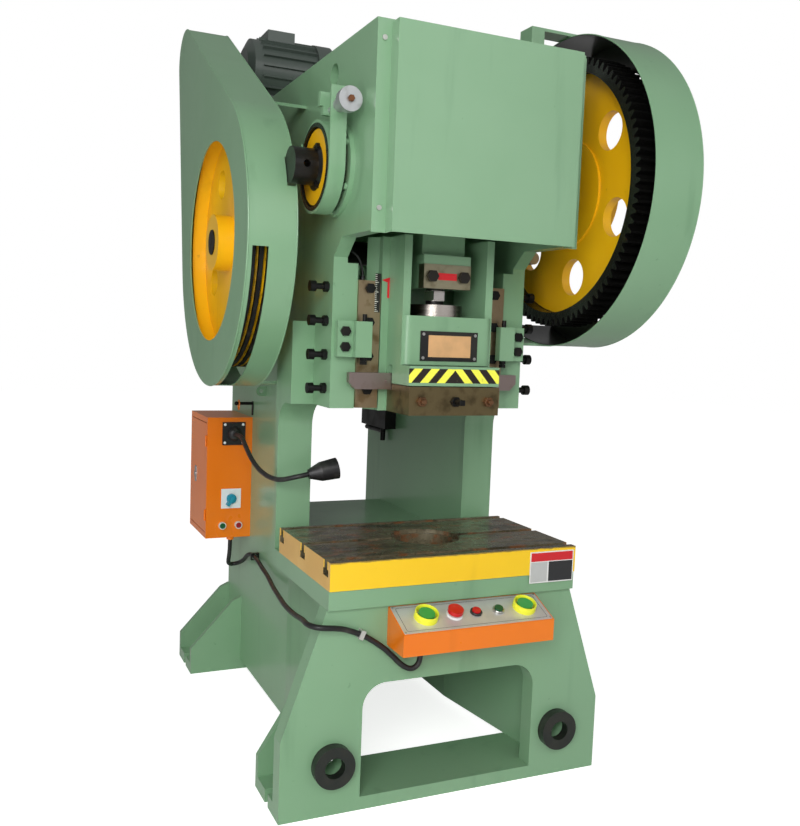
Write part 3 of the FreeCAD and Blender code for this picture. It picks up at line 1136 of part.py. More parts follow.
CABLE = [(-348, 772, 489.7), (-348, 772, 450), (-346, 802, 414), (-326, 846, 396), (-304, 812, 400),
         (-300, 752, 424), (-300, 690, 447), (-300, 620, 451), (-300, 545, 435), (-302, 470, 427),
         (-316, 370, 423), (-332, 260, 428), (-352, 130, 437), (-366, 0, 452), (-376, -90, 470),
         (-378, -150, 484), (-378, -204, 490), (-340, -206, 487), (-300, -204, 470), (-250, -204, 450),
         (-205, -206, 418), (-165, -214, 389), (-132, -222, 375), (-108, -223, 384), (-108, -223, 417.7)]


def cable():
    """The control cable from the cabinet along the wall to the control box."""
    formed(tube(CABLE, value("cable_radius"))[0], "control_cable")


def clip(centre, turn, wall_gap):
    """A cable clip: a strap round the cable, reaching back to the face that carries it."""
    radius, wide = value("cable_radius + clip_gap"), value("cable_clip")
    half = radius + value("clip_strap")
    block = Part.makeBox(wide, half + wall_gap, 2 * half, Vector(-wide / 2, -half, -half))
    strap = block.cut(Part.makeCylinder(radius, 2 * wide, Vector(-wide, 0, 0), Vector(1, 0, 0)))
    strap.Placement = FreeCAD.Placement(centre, turn)
    return strap


def wall_fittings():
    """The cable clips and the switch rod with its foot on the left wall."""
    root = Vector(-value(WALL_OUT), value("cabinet_front"), value("rod_z"))
    half, high = value("switch_rod_end"), value("switch_foot")
    arm = Part.makeCylinder(value("switch_rod_radius"), value("switch_rod"), root, Vector(-1, 0, 0))
    knob = Part.makeSphere(half, root - Vector(value("switch_rod"), 0, 0))
    foot = Part.makeBox(value("sheet"), 2 * half, high, root + Vector(-value("sheet"), -half, half - high))
    wall_clip = clip(Vector(-300, 640, 448.9), FreeCAD.Rotation(VERTICAL, -90), 300 - value(WALL_OUT))
    front_clip = clip(Vector(-262.7, -204.1, 456), FreeCAD.Rotation(Vector(0, 1, 0), 24),
                      204.1 + value("front_y"))
    formed(Part.makeCompound([arm.fuse(knob).fuse(foot), wall_clip, front_clip]), "wall_fittings")


def oil_line():
    """The thin oil hose from the head down to the fitting on top of the left gib."""
    points = [(-232, 60, 1420), (-226, 44, 1400), (-206, 40, 1385), (-196, 40, 1360),
              (-193, 40, value("gib_top") + 14)]
    hose = tube(points, value("oil_radius"))[0]
    fitting = Part.makeCylinder(6, 13, Vector(-193, 40, value("gib_top")), VERTICAL)
    formed(hose.fuse(fitting), "oil_line")


# ---------------------------------------------------------------- run
def export_nodes():
    """Check every object, then write each sub-part to its own file."""
    bad = [thing.Name for thing in DOC.Objects if {"Invalid", "Error"} & set(thing.State)]
    bad += [thing.Label for thing in NODES if thing.Shape.isNull() or not thing.Shape.isValid()]
    if bad:
        raise RuntimeError("broken objects: " + ", ".join(bad))
    os.makedirs("parts", exist_ok=True)
    for thing in NODES:
        thing.Shape.exportStep(f"parts/{thing.Label}.step")
    print(len(NODES), "sub-parts written")


def main():
    """Build the press, piece by piece, and write its sub-parts."""
    fill_sheet()
    side_wall(-1, "side_wall_left")
    side_wall(1, "side_wall_right")
    for build in (front_plate, lifting_sockets, table_plate, bolster_plate, foot_plates, gussets,
                  throat_frames, gib_carriers, cross_plates, crank_cover, crank_bearings, drive_bearings,
                  crankshaft, brake, connecting_rod, ball_screw, slide, ball_cap, warning_plate,
                  shank_clamp, gibs, knockout, clutch_linkage, big_gear, drive_shaft,
                  flywheel, belts, motor, flywheel_guard, gear_guard, guard_stays, cabinet, switch,
                  gooseneck, control_box, cable, wall_fittings, oil_line):
        build()
    DOC.recompute()
    export_nodes()


main()
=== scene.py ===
"""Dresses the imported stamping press: finishes for its CAD pieces, added trim, light and camera."""
from __future__ import annotations

import logging
import math
from dataclasses import dataclass, field, replace
from enum import Enum
from functools import reduce
from itertools import product
from operator import mul
from typing import Callable, Iterable, Sequence, Union

import bpy
import bmesh
import numpy as np
from mathutils import Matrix, Vector

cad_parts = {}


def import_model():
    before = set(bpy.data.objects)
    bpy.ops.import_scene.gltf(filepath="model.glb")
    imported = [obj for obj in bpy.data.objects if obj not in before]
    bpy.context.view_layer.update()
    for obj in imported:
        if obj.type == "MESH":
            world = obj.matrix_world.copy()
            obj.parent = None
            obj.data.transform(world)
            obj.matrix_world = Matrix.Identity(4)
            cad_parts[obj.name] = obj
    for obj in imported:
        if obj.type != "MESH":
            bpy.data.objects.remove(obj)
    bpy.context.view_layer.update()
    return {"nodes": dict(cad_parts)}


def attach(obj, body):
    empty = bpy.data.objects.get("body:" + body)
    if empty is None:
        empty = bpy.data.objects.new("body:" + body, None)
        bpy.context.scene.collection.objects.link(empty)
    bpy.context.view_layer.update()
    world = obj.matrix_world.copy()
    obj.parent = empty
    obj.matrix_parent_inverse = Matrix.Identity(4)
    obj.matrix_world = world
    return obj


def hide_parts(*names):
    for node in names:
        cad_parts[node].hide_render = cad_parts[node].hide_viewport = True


LOG = logging.getLogger("press")
MM = 0.001
Colour = tuple[float, float, float, float]
Triple = tuple[float, float, float]
Span = tuple[float, float]
Profile = tuple[tuple[float, float], ...]
ALL: Span = (-9.0, 9.0)
SIDES = ("left", "right")
RIGHT, BACK, UP, LEFT, FORWARD = (1, 0, 0), (0, 1, 0), (0, 0, 1), (-1, 0, 0), (0, -1, 0)
SHARP = math.radians(35.0)
CRANK = (0.0, 1.595)
WHEEL = (0.39766, 1.42620)
MIX_FIRST, MIX_SECOND, MIX_RESULT = 6, 7, 2
ENAMEL_COAT = {"Coat_Weight": 0.3, "Coat_Roughness": 0.09}


class Body(Enum):
    """The CAD bodies that added pieces ride on."""

    FRAME = "frame"
    RAM = "ram"
    ROD = "rod"
    CRANK = "crank"
    DOOR = "door"


def linear(code: str) -> Colour:
    """Turns a six-digit screen colour into linear light, by the two-part sRGB curve.

    Args:
        code: The colour as six hexadecimal digits.

    Returns:
        Red, green, blue and an alpha of one.
    """
    parts = np.array([int(code[i:i + 2], 16) for i in (0, 2, 4)]) / 255.0
    light = np.where(parts <= 0.04045, parts / 12.92, ((parts + 0.055) / 1.055) ** 2.4)
    return (float(light[0]), float(light[1]), float(light[2]), 1.0)


# ------------------------------------------------------------------ shader maths
def _operator(operation: str, swapped: bool = False) -> Callable[[Wire, Term], Wire]:
    """Makes one of a wire's operators.

    Args:
        operation: The Math node's operation.
        swapped: Puts the other value first, as the reflected form needs.

    Returns:
        The method, which adds the Math node.
    """
    def apply(self: Wire, other: Term) -> Wire:
        """Adds the Math node for this operator."""
        return self._math(operation, other, self) if swapped else self._math(operation, self, other)
    return apply


class Wire:
    """A shader socket whose maths nodes are added by Python's operators."""

    def __init__(self, shader: Shader, socket: bpy.types.NodeSocket) -> None:
        """Keeps the shader and the socket that the wire starts from."""
        self.shader = shader
        self.socket = socket

    def _math(self, operation: str, first: Term, second: Term = 0.0) -> Wire:
        """Adds one Math node and returns its output."""
        return self.shader.node("ShaderNodeMath", {"operation": operation}, {0: first, 1: second})

    __add__ = _operator("ADD")
    __radd__ = _operator("ADD", True)
    __sub__ = _operator("SUBTRACT")
    __rsub__ = _operator("SUBTRACT", True)
    __mul__ = _operator("MULTIPLY")
    __rmul__ = _operator("MULTIPLY", True)
    __truediv__ = _operator("DIVIDE")
    __gt__ = _operator("GREATER_THAN")
    __lt__ = _operator("LESS_THAN")

    def __abs__(self) -> Wire:
        """Drops the sign."""
        return self._math("ABSOLUTE", self)

    def root(self) -> Wire:
        """Takes the square root."""
        return self._math("SQRT", self)

    def wrapped(self, span: float) -> Wire:
        """Repeats the value from zero to the span."""
        return self.shader.node("ShaderNodeMath", {"operation": "WRAP"}, {0: self, 1: span, 2: 0.0})

    def between(self, low: float, high: float) -> Wire:
        """Is one where the wire lies between two values."""
        return (self > low) * (self < high)

    def ramp(self, low: float, high: float) -> Wire:
        """Rises smoothly from zero at the low value to one at the high value."""
        return self.shader.node("ShaderNodeMapRange", {"interpolation_type": "SMOOTHSTEP"},
                                {"Value": self, "From Min": low, "From Max": high}, "Result")


Term = Union[Wire, float]
Tint = Union[Wire, str]


class Shader:
    """One material's node tree with a few shorthand makers."""

    def __init__(self, name: str) -> None:
        """Makes an empty material with a principled shader on its output.

        Args:
            name: The material's name.
        """
        self.material = bpy.data.materials.new(name)
        self.material.use_nodes = True
        self.tree = self.material.node_tree
        self.tree.nodes.clear()
        out = self.tree.nodes.new("ShaderNodeOutputMaterial")
        self.main = self.tree.nodes.new("ShaderNodeBsdfPrincipled")
        self.tree.links.new(self.main.outputs[0], out.inputs["Surface"])
        self._place: Wire | None = None
        self._axes: tuple[Wire, Wire, Wire] | None = None

    def node(self, kind: str, settings: dict | None = None, inputs: dict | None = None,
             output: int | str = 0) -> Wire:
        """Adds a node of any type.

        Args:
            kind: Blender's name of the node type.
            settings: Values of the node's own properties, set before its sockets.
            inputs: Values or wires for its input sockets, by name or number.
            output: The output socket that is returned.

        Returns:
            A wire from the chosen output.
        """
        made = self.tree.nodes.new(kind)
        for key, value in (settings or {}).items():
            if key == "stops":
                self._stops(made, value)
            else:
                setattr(made, key, value)
        for key, value in (inputs or {}).items():
            self._feed(made.inputs[key], value)
        return Wire(self, made.outputs[output])

    def _feed(self, socket: bpy.types.NodeSocket, value: Term | Tint | Triple) -> None:
        """Links a wire to a socket, or sets the socket to a fixed value.

        Args:
            socket: The input socket.
            value: A wire, a number, a vector or a colour's code.
        """
        if isinstance(value, Wire):
            self.tree.links.new(value.socket, socket)
        else:
            socket.default_value = linear(value) if isinstance(value, str) else value

    @staticmethod
    def _stops(made: bpy.types.Node, stops: Sequence[tuple[float, str]]) -> None:
        """Puts the stops of a colour ramp in place.

        Args:
            made: The colour ramp's node.
            stops: Each stop's place, from zero to one, and its colour's code.
        """
        elements = made.color_ramp.elements
        while len(elements) < len(stops):
            elements.new(1.0)
        for element, (place, colour) in zip(elements, stops):
            element.position = place
            element.color = linear(colour)

    def place(self) -> Wire:
        """Gives the object coordinates, from a node that is made once.

        Returns:
            The coordinates, in metres.
        """
        if self._place is None:
            self._place = self.node("ShaderNodeTexCoord", output="Object")
        return self._place

    def axes(self) -> tuple[Wire, Wire, Wire]:
        """Splits the object coordinates, by a node that is made once.

        Returns:
            X, Y and Z, in metres.
        """
        if self._axes is None:
            split = self.node("ShaderNodeSeparateXYZ", inputs={0: self.place()})
            self._axes = tuple(Wire(self, output) for output in split.socket.node.outputs)
        return self._axes

    def noise(self, scale: float, detail: float = 3.0, stretch: Triple | None = None,
              rough: float = 0.5) -> Wire:
        """Adds a noise between zero and one.

        Args:
            scale: How many patches lie in a metre.
            detail: How many finer layers are added.
            stretch: A scale along each axis, or none.
            rough: The share of the finer layers.

        Returns:
            The noise's value.
        """
        where = self.place()
        if stretch is not None:
            where = self.node("ShaderNodeMapping", inputs={"Vector": where, "Scale": stretch})
        return self.node("ShaderNodeTexNoise",
                         inputs={"Vector": where, "Scale": scale, "Detail": detail, "Roughness": rough})

    def mix(self, share: Term, first: Tint, second: Tint) -> Wire:
        """Mixes two colours; the share is how much of the second one shows."""
        return self.node("ShaderNodeMix", {"data_type": "RGBA"},
                         {"Factor": share, MIX_FIRST: first, MIX_SECOND: second}, MIX_RESULT)

    def colours(self, share: Wire, stops: Sequence[tuple[float, str]]) -> Wire:
        """Looks a colour up on a ramp."""
        return self.node("ShaderNodeValToRGB", {"stops": stops}, {0: share})

    def relief(self, height: Wire, depth: float, strength: float = 1.0) -> Wire:
        """Turns a height from zero to one, and its depth in metres, into the Normal socket's direction."""
        return self.node("ShaderNodeBump", inputs={"Height": height, "Distance": depth, "Strength": strength})

    def finish(self, **sockets: Term | Tint) -> bpy.types.Material:
        """Puts the last values on the principled shader.

        Args:
            sockets: Values, colour codes or wires by socket name, with underscores for blanks.

        Returns:
            The finished material.
        """
        for key, value in sockets.items():
            self._feed(self.main.inputs[key.replace("_", " ")], value)
        return self.material


# ------------------------------------------------------------------ finishes
@dataclass(frozen=True)
class Zone:
    """A box in which a piece's finish differs, such as its bolt heads; the spans are in metres."""

    colour: str
    rough: float = 0.35
    metallic: float = 0.0
    x: Span = ALL
    y: Span = ALL
    z: Span = ALL

    def inside(self, shader: Shader) -> Wire:
        """Is one inside the box."""
        spans = zip(shader.axes(), (self.x, self.y, self.z))
        return reduce(mul, [axis.between(*span) for axis, span in spans if span != ALL])


def zoned(shader: Shader, zones: Sequence[Zone], base: Tint, rough: Term, metallic: Term) -> tuple[Tint, Term, Term]:
    """Lays each zone's colour, roughness and metal over what lies under it.

    Args:
        shader: The material's shader.
        zones: The zones, the last on top.
        base: The colour outside them.
        rough: The roughness outside them.
        metallic: The share of metal outside them.

    Returns:
        The colour, the roughness and the share of metal.
    """
    for zone in zones:
        share = zone.inside(shader)
        base = shader.mix(share, base, zone.colour)
        rough = share * (zone.rough - rough) + rough
        metallic = share * (zone.metallic - metallic) + metallic
    return base, rough, metallic


@dataclass(frozen=True)
class Paint:
    """Sprayed enamel with a faint skin, thin runs and a few greasy marks."""

    name: str
    colour: str
    shade: str
    light: str
    gloss: float = 0.3
    grime: float = 0.25
    zones: tuple[Zone, ...] = ()

    def colour_wire(self, shader: Shader) -> Wire:
        """Gives the paint's colour: slow cloudy change, thin runs and sparse marks.

        Args:
            shader: The material's shader.

        Returns:
            The colour.
        """
        cloud = shader.noise(2.3, 3.0)
        base = shader.mix(cloud.ramp(0.3, 0.7), self.colour, self.light)
        runs = shader.noise(14.0, 4.0, (1.0, 1.0, 0.12)).ramp(0.58, 0.78) * self.grime
        marks = shader.noise(55.0, 5.0).ramp(0.70, 0.78) * (self.grime * 1.3)
        return shader.mix(marks, shader.mix(runs, base, self.shade), self.shade)

    def skin(self, shader: Shader) -> Wire:
        """Gives the fine skin of sprayed paint over slightly wavy sheet."""
        return shader.relief(shader.noise(420.0, 2.0) * 0.12 + shader.noise(9.0, 2.0) * 0.9, 0.0016, 0.5)

    def gloss_wire(self, shader: Shader) -> Wire:
        """Gives a roughness that drifts over the surface."""
        return shader.noise(6.0, 4.0) * 0.16 + (self.gloss - 0.06)

    def build(self) -> bpy.types.Material:
        """Makes the paint's material.

        Returns:
            The finished material.
        """
        shader = Shader(self.name)
        base, rough, metallic = zoned(shader, self.zones, self.colour_wire(shader), self.gloss_wire(shader), 0.0)
        return shader.finish(Base_Color=base, Roughness=rough, Metallic=metallic, Normal=self.skin(shader),
                             **ENAMEL_COAT)


@dataclass(frozen=True)
class Metal:
    """Machined or raw metal with a grain, stains and an uneven sheen."""

    name: str
    colour: str
    stain: str
    rough: float = 0.35
    grain: Triple = (1.0, 1.0, 30.0)
    stained: float = 0.5
    metallic: float = 1.0
    zones: tuple[Zone, ...] = ()

    def build(self) -> bpy.types.Material:
        """Makes the metal's material.

        Returns:
            The finished material.
        """
        shader = Shader(self.name)
        grain = shader.noise(60.0, 4.0, self.grain)
        stain = shader.noise(26.0, 5.0).ramp(0.48, 0.72) * self.stained
        base, rough, metallic = zoned(shader, self.zones,
                                      shader.mix(stain, self.colour, self.stain),
                                      grain * 0.16 + stain * 0.25 + (self.rough - 0.06), self.metallic)
        return shader.finish(Base_Color=base, Metallic=metallic, Roughness=rough,
                             Normal=shader.relief(grain, 0.0004, 0.5))


@dataclass(frozen=True)
class Plastic:
    """Moulded plastic or rubber with a fine grain."""

    name: str
    colour: str
    rough: float = 0.35
    grain: float = 900.0
    depth: float = 0.0002

    def build(self) -> bpy.types.Material:
        """Makes the plastic's material.

        Returns:
            The finished material.
        """
        shader = Shader(self.name)
        dust = shader.noise(30.0, 4.0).ramp(0.45, 0.85) * 0.10
        base = shader.mix(dust, self.colour, "B9B4A8")
        return shader.finish(Base_Color=base, Roughness=shader.noise(40.0, 3.0) * 0.14 + (self.rough - 0.05),
                             Normal=shader.relief(shader.noise(self.grain, 2.0), self.depth, 0.5))


GREEN = Paint("green_enamel", "80AA83", "4E7256", "87AF8A")
ORANGE = Paint("orange_enamel", "F47A05", "A9540C", "FA8410", 0.28, 0.18)
YELLOW = Paint("yellow_enamel", "FFBE0A", "A86E08", "FFC818", 0.28, 0.25)
BRIGHT = Paint("bright_yellow_enamel", "FFCF12", "C59A10", "FFD31C", 0.32, 0.25)


def axle_distance(shader: Shader, y: float, z: float) -> Wire:
    """Gives the distance from an axle that lies along X: the root of the two squares added."""
    _, across, up = shader.axes()
    return ((across - y) * (across - y) + (up - z) * (up - z)).root()


@dataclass(frozen=True)
class BolsterFinish:
    """Oily, stained steel on the bolster, bright yellow in front, ochre on the sides with drips."""

    name: str = "bolster_finish"
    side: float = 0.3495
    front: float = -0.2095
    slots: tuple[float, ...] = (-0.178, 0.002, 0.182)
    slot_half: float = 0.017
    drip_level: Span = (0.628, 0.632)
    rim_level: Span = (0.6375, 0.6405)

    def build(self) -> bpy.types.Material:
        """Makes the bolster's material.

        Returns:
            The finished material.
        """
        shader = Shader(self.name)
        x, y, z = shader.axes()
        front = y < self.front
        side = abs(x) > self.side
        streak = shader.noise(7.0, 6.0, (1.0, 2.6, 1.0), 0.62)
        steel = shader.colours(streak, [(0.25, "2C2A20"), (0.42, "625A44"), (0.55, "80765E"), (0.68, "4E4836"),
                                        (0.85, "B8B0A0")])
        rust = shader.noise(19.0, 6.0, (1.0, 1.8, 1.0), 0.6).ramp(0.52, 0.66) * 0.8
        steel = shader.mix(rust, steel, "96603A")
        near = sum(((abs(y - slot) < self.slot_half) * 1.0 for slot in self.slots), 0.0)
        drip = near * (z + shader.noise(60.0, 3.0) * 0.03).ramp(*self.drip_level)
        ochre = shader.mix(shader.noise(9.0, 4.0).ramp(0.4, 0.7), "E4B256", "EFC065")
        sides = shader.mix(drip, ochre, "FFCB10")
        rim = (z + shader.noise(45.0, 4.0) * 0.006).ramp(*self.rim_level) * 0.8
        face = shader.mix(rim, BRIGHT.colour_wire(shader), "6B5A30")
        base = shader.mix(front, shader.mix(side, steel, sides), face)
        bare = (1.0 - front) * (1.0 - side)
        crumple = shader.noise(16.0, 6.0, (1.0, 2.2, 1.0), 0.68)
        height = crumple * bare + shader.noise(420.0, 2.0) * 0.02
        rough = shader.noise(30.0, 5.0).ramp(0.3, 0.75) * 0.35 + 0.16
        return shader.finish(Base_Color=base, Metallic=bare * 0.35, Roughness=rough * bare + (1.0 - bare) * 0.3,
                             Normal=shader.relief(height, 0.012, 0.6), Coat_Weight=0.3, Coat_Roughness=0.1)


@dataclass(frozen=True)
class WheelFinish:
    """Yellow web on an axle along X, greasy black outside one radius and black inside the hub's."""

    name: str
    y: float
    z: float
    rim: float
    hub: float = 0.0

    def build(self) -> bpy.types.Material:
        """Makes the wheel's material.

        Returns:
            The finished material.
        """
        shader = Shader(self.name)
        far = axle_distance(shader, self.y, self.z)
        wobble = far + (shader.noise(45.0, 4.0) - 0.5) * 0.004
        rim = wobble.ramp(self.rim, self.rim + 0.003)
        soot = wobble.ramp(self.rim - 0.03, self.rim + 0.006) * shader.noise(12.0, 5.0).ramp(0.4, 0.75) * 0.35
        base = shader.mix(soot, YELLOW.colour_wire(shader), "5A3A10")
        base = shader.mix(rim, base, "121211")
        base = shader.mix(far < self.hub, base, "151515")
        lumps = shader.noise(70.0, 5.0, None, 0.6) * rim + shader.noise(420.0, 2.0) * 0.03
        return shader.finish(Base_Color=base, Roughness=0.34 - rim * 0.16,
                             Normal=shader.relief(lumps, 0.006, 0.7), Coat_Weight=0.2, Coat_Roughness=0.1)


@dataclass(frozen=True)
class GuardFinish:
    """Green outside and black on the inner face of a round guard about an axle along X."""

    name: str
    y: float
    z: float
    inner: float

    def build(self) -> bpy.types.Material:
        """Makes the guard's material.

        Returns:
            The finished material.
        """
        shader = Shader(self.name)
        inside = axle_distance(shader, self.y, self.z) < self.inner
        base = shader.mix(inside, GREEN.colour_wire(shader), "181A17")
        return shader.finish(Base_Color=base, Roughness=GREEN.gloss_wire(shader), Normal=GREEN.skin(shader),
                             **ENAMEL_COAT)


@dataclass(frozen=True)
class ZonedFinish:
    """A plain finish with other colours in a few boxes and a little dirt over all."""

    name: str
    colour: str
    rough: float
    metallic: float
    zones: tuple[Zone, ...]
    dirt: float = 0.18

    def build(self) -> bpy.types.Material:
        """Makes the zoned material.

        Returns:
            The finished material.
        """
        shader = Shader(self.name)
        cloud = shader.noise(24.0, 5.0).ramp(0.35, 0.75)
        base, rough, metallic = zoned(shader, self.zones, self.colour, self.rough, self.metallic)
        return shader.finish(Base_Color=shader.mix(cloud * self.dirt, base, "4A4438"),
                             Roughness=rough + cloud * 0.08, Metallic=metallic,
                             Normal=shader.relief(shader.noise(180.0, 3.0), 0.0004, 0.5))


@dataclass(frozen=True)
class HazardStripes:
    """Yellow and black slanting stripes that meet in a black triangle at the middle."""

    name: str = "hazard_stripes"
    low: float = 1.068
    high: float = 1.104
    pitch: float = 0.0472
    lean: float = 0.0315
    start: float = 0.0287

    def build(self) -> bpy.types.Material:
        """Makes the stripes: the distance from the middle plus a lean by height, repeated.

        Returns:
            The finished material.
        """
        shader = Shader(self.name)
        x, _, z = shader.axes()
        rise = (z - self.low) / (self.high - self.low)
        slid = abs(x) + rise * self.lean - self.start
        stripe = slid.wrapped(self.pitch) > self.pitch / 2
        black = 1.0 - (1.0 - stripe) * (1.0 - (slid < 0.0))
        base = shader.mix(black, "FFFF55", "231A15")
        scuff = shader.noise(80.0, 5.0).ramp(0.62, 0.72) * 0.3
        return shader.finish(Base_Color=shader.mix(scuff, base, "8F8A60"), Roughness=0.38,
                             Normal=shader.relief(shader.noise(60.0, 2.0), 0.0004, 0.5))


@dataclass(frozen=True)
class ScaleMarks:
    """A black scale with white ticks up one side."""

    name: str = "scale_marks"
    left: float = -0.1715
    low: float = 1.2445
    pitch: float = 0.005
    long_pitch: float = 0.025
    short_tick: Span = (0.0013, 0.0055)
    long_tick: Span = (0.0018, 0.0095)

    def build(self) -> bpy.types.Material:
        """Makes the ticks: the height, repeated at the pitch, with longer ones at a wider pitch.

        Returns:
            The finished material.
        """
        shader = Shader(self.name)
        x, _, z = shader.axes()
        blank: Term = 1.0
        for pitch, (thick, reach) in ((self.pitch, self.short_tick), (self.long_pitch, self.long_tick)):
            tick = ((z - self.low).wrapped(pitch) < thick) * (x - self.left < reach)
            blank = (1.0 - tick) * blank
        mark = 1.0 - blank
        base = shader.mix(mark, "14130F", "E8E6DA")
        return shader.finish(Base_Color=base, Roughness=0.4 + shader.noise(50.0, 3.0) * 0.1)


@dataclass(frozen=True)
class CapFinish:
    """Turned steel on the ball's cap with a painted highlight in the middle and painted shade and reflections towards
    its ends.
    """

    name: str = "cap_finish"
    offset: float = 0.01
    painted_shading: Span = (0.022, 0.066)

    def build(self) -> bpy.types.Material:
        """Makes the cap's material.

        Returns:
            The finished material.
        """
        shader = Shader(self.name)
        x, _, _ = shader.axes()
        # Painted highlight and shade: light in the middle, darkening towards both ends along X.
        painted_shading = (abs(x + self.offset) + shader.noise(40.0, 4.0, (0.2, 0.2, 4.0)) * 0.02).ramp(*self.painted_shading)
        base = shader.mix(painted_shading, "D9D0C8", "2A221C")
        return shader.finish(Base_Color=base, Metallic=0.9, Roughness=painted_shading * 0.12 + 0.2)


@dataclass(frozen=True)
class LampFinish:
    """The indicator lamps: a green and a red lens, each in a white bezel."""

    name: str = "lamp_finish"
    middle: float = -0.354
    level: float = 0.532
    spacing: float = 0.027
    lens: float = 0.0095

    def build(self) -> bpy.types.Material:
        """Makes the lamps' material.

        Returns:
            The finished material.
        """
        shader = Shader(self.name)
        x, _, z = shader.axes()
        colour = shader.mix(x > self.middle, "0F5A33", "9E1420")
        reach = abs(abs(x - self.middle) - self.spacing)
        far = (reach * reach + (z - self.level) * (z - self.level)).root()
        base = shader.mix(far > self.lens, colour, "E4E6E6")
        return shader.finish(Base_Color=base, Roughness=0.22)


EVEN: Triple = (1.0, 1.0, 1.0)
BLACK_OXIDE = Metal("black_oxide", "1A1A1A", "2B2723", 0.38, EVEN, 0.6, 0.6)
SWITCH_PLATE = {"x": (-0.386, -0.320), "z": (0.589, 0.655)}
FINISHES = {finish.name: finish for finish in (
    GREEN, ORANGE, BolsterFinish(), HazardStripes(), ScaleMarks(), CapFinish(), LampFinish(),
    # The motor's dark green-grey is partly its own dark colour and partly painted shade on green paint.
    Paint("motor_dark_shaded_enamel", "46504A", "262B28", "4E5852"),
    replace(ORANGE, name="cabinet_enamel", zones=(Zone("EDF0F2", 0.35, y=(0.70, 0.7537), **SWITCH_PLATE),)),
    replace(ORANGE, name="door_enamel", zones=(Zone("C4C5C3", 0.3, 1.0, x=(-0.45, -0.4353), y=(0.90, 0.94)),)),
    WheelFinish("gear_finish", *CRANK, 0.327),
    WheelFinish("wheel_finish", *WHEEL, 0.349),
    WheelFinish("drum_finish", *CRANK, 0.0915, 0.058),
    GuardFinish("gear_guard_finish", *CRANK, 0.4225),
    # The crank's end face is black steel; its slight green-grey is a painted reflection.
    ZonedFinish("shaft_finish", "161616", 0.3, 0.4, (Zone("222824", 0.35, x=(-0.42, -0.4115), y=(-0.1, 0.1)),)),
    ZonedFinish("socket_finish", "1C211D", 0.35, 0.0, (Zone("141614", 0.5, y=(-0.2, 0.0)),)),
    ZonedFinish("screw_finish", "1B1A19", 0.4, 0.6, (Zone("CFCAC6", 0.22, 1.0, z=(1.279, 1.3065)),)),
    ZonedFinish("slide_plate_finish", "121212", 0.35, 0.0,
                (Zone("E3B27C", x=(-0.060, 0.063), z=(1.1325, 1.1885)),
                 Zone("C9C9C6", 0.28, 1.0, y=(-0.2, -0.0987)))),
    ZonedFinish("front_plate_finish", "EDEDEB", 0.3, 0.0,
                (Zone("D8222C", 0.3, x=(0.211, 0.341), z=(0.604, 0.627)),
                 Zone("C2C4C2", 0.3, x=(0.211, 0.262), z=(0.549, 0.602)),
                 Zone("2B2C2E", 0.3, x=(0.266, 0.341), z=(0.549, 0.602))), 0.08),
    ZonedFinish("panel_finish", "D9D8D4", 0.28, 0.35, (), 0.12),
    Metal("gib_steel", "A08E72", "6E5636", 0.4, (1.0, 1.0, 12.0), 0.65),
    Metal("clamp_steel", "77694A", "3F331F", 0.32, (3.0, 1.0, 1.0), 0.7, 0.8),
    Metal("bar_steel", "9E8E8A", "6B5A55", 0.36, (0.3, 1.0, 14.0), 0.5),
    Metal("rod_steel", "A39C83", "6E6448", 0.36, (0.5, 1.0, 8.0), 0.6, 1.0,
          (Zone("2A2622", 0.4, 0.5, y=(-0.2, -0.0725)),)),
    BLACK_OXIDE,
    replace(BLACK_OXIDE, name="clutch_steel", zones=(Zone("8E8A84", 0.3, 1.0, x=(0.28, 0.34), y=(-0.1, 0.03)),)),
    replace(BLACK_OXIDE, name="fitting_steel", zones=(Zone("D2D2CE", 0.3, 0.6, y=(-0.3, -0.19)),)),
    Metal("rusty_steel", "7C5A40", "463424", 0.42, (1.0, 1.0, 4.0), 0.7, 0.8),
    Metal("zinc", "C4C4C0", "8E8A80", 0.28, EVEN, 0.3),
    Metal("alloy", "B9BBBD", "77756F", 0.34, EVEN, 0.6, 0.7),
    Metal("dark_cast", "2A2826", "171513", 0.45, EVEN, 0.7, 0.7),
    Metal("copper", "84583F", "4C3222", 0.4, EVEN, 0.6),
    Plastic("black_rubber", "1B1B1C", 0.42, 700.0, 0.0003),
    Plastic("black_plastic", "1E1E20", 0.36),
    Plastic("belt_rubber", "1A1918", 0.6, 500.0, 0.0004),
    Plastic("shroud_yellow", "FFFF3C", 0.3),
    Plastic("palm_green", "35A84C", 0.34),
    Plastic("signal_red", "D1121C", 0.28),
    Plastic("deep_green", "0F5A33", 0.28),
    Plastic("teal", "1C93AE", 0.3),
    Plastic("white_plastic", "EEF0F2", 0.35),
    Plastic("tag_red", "DF1824", 0.35),
)}

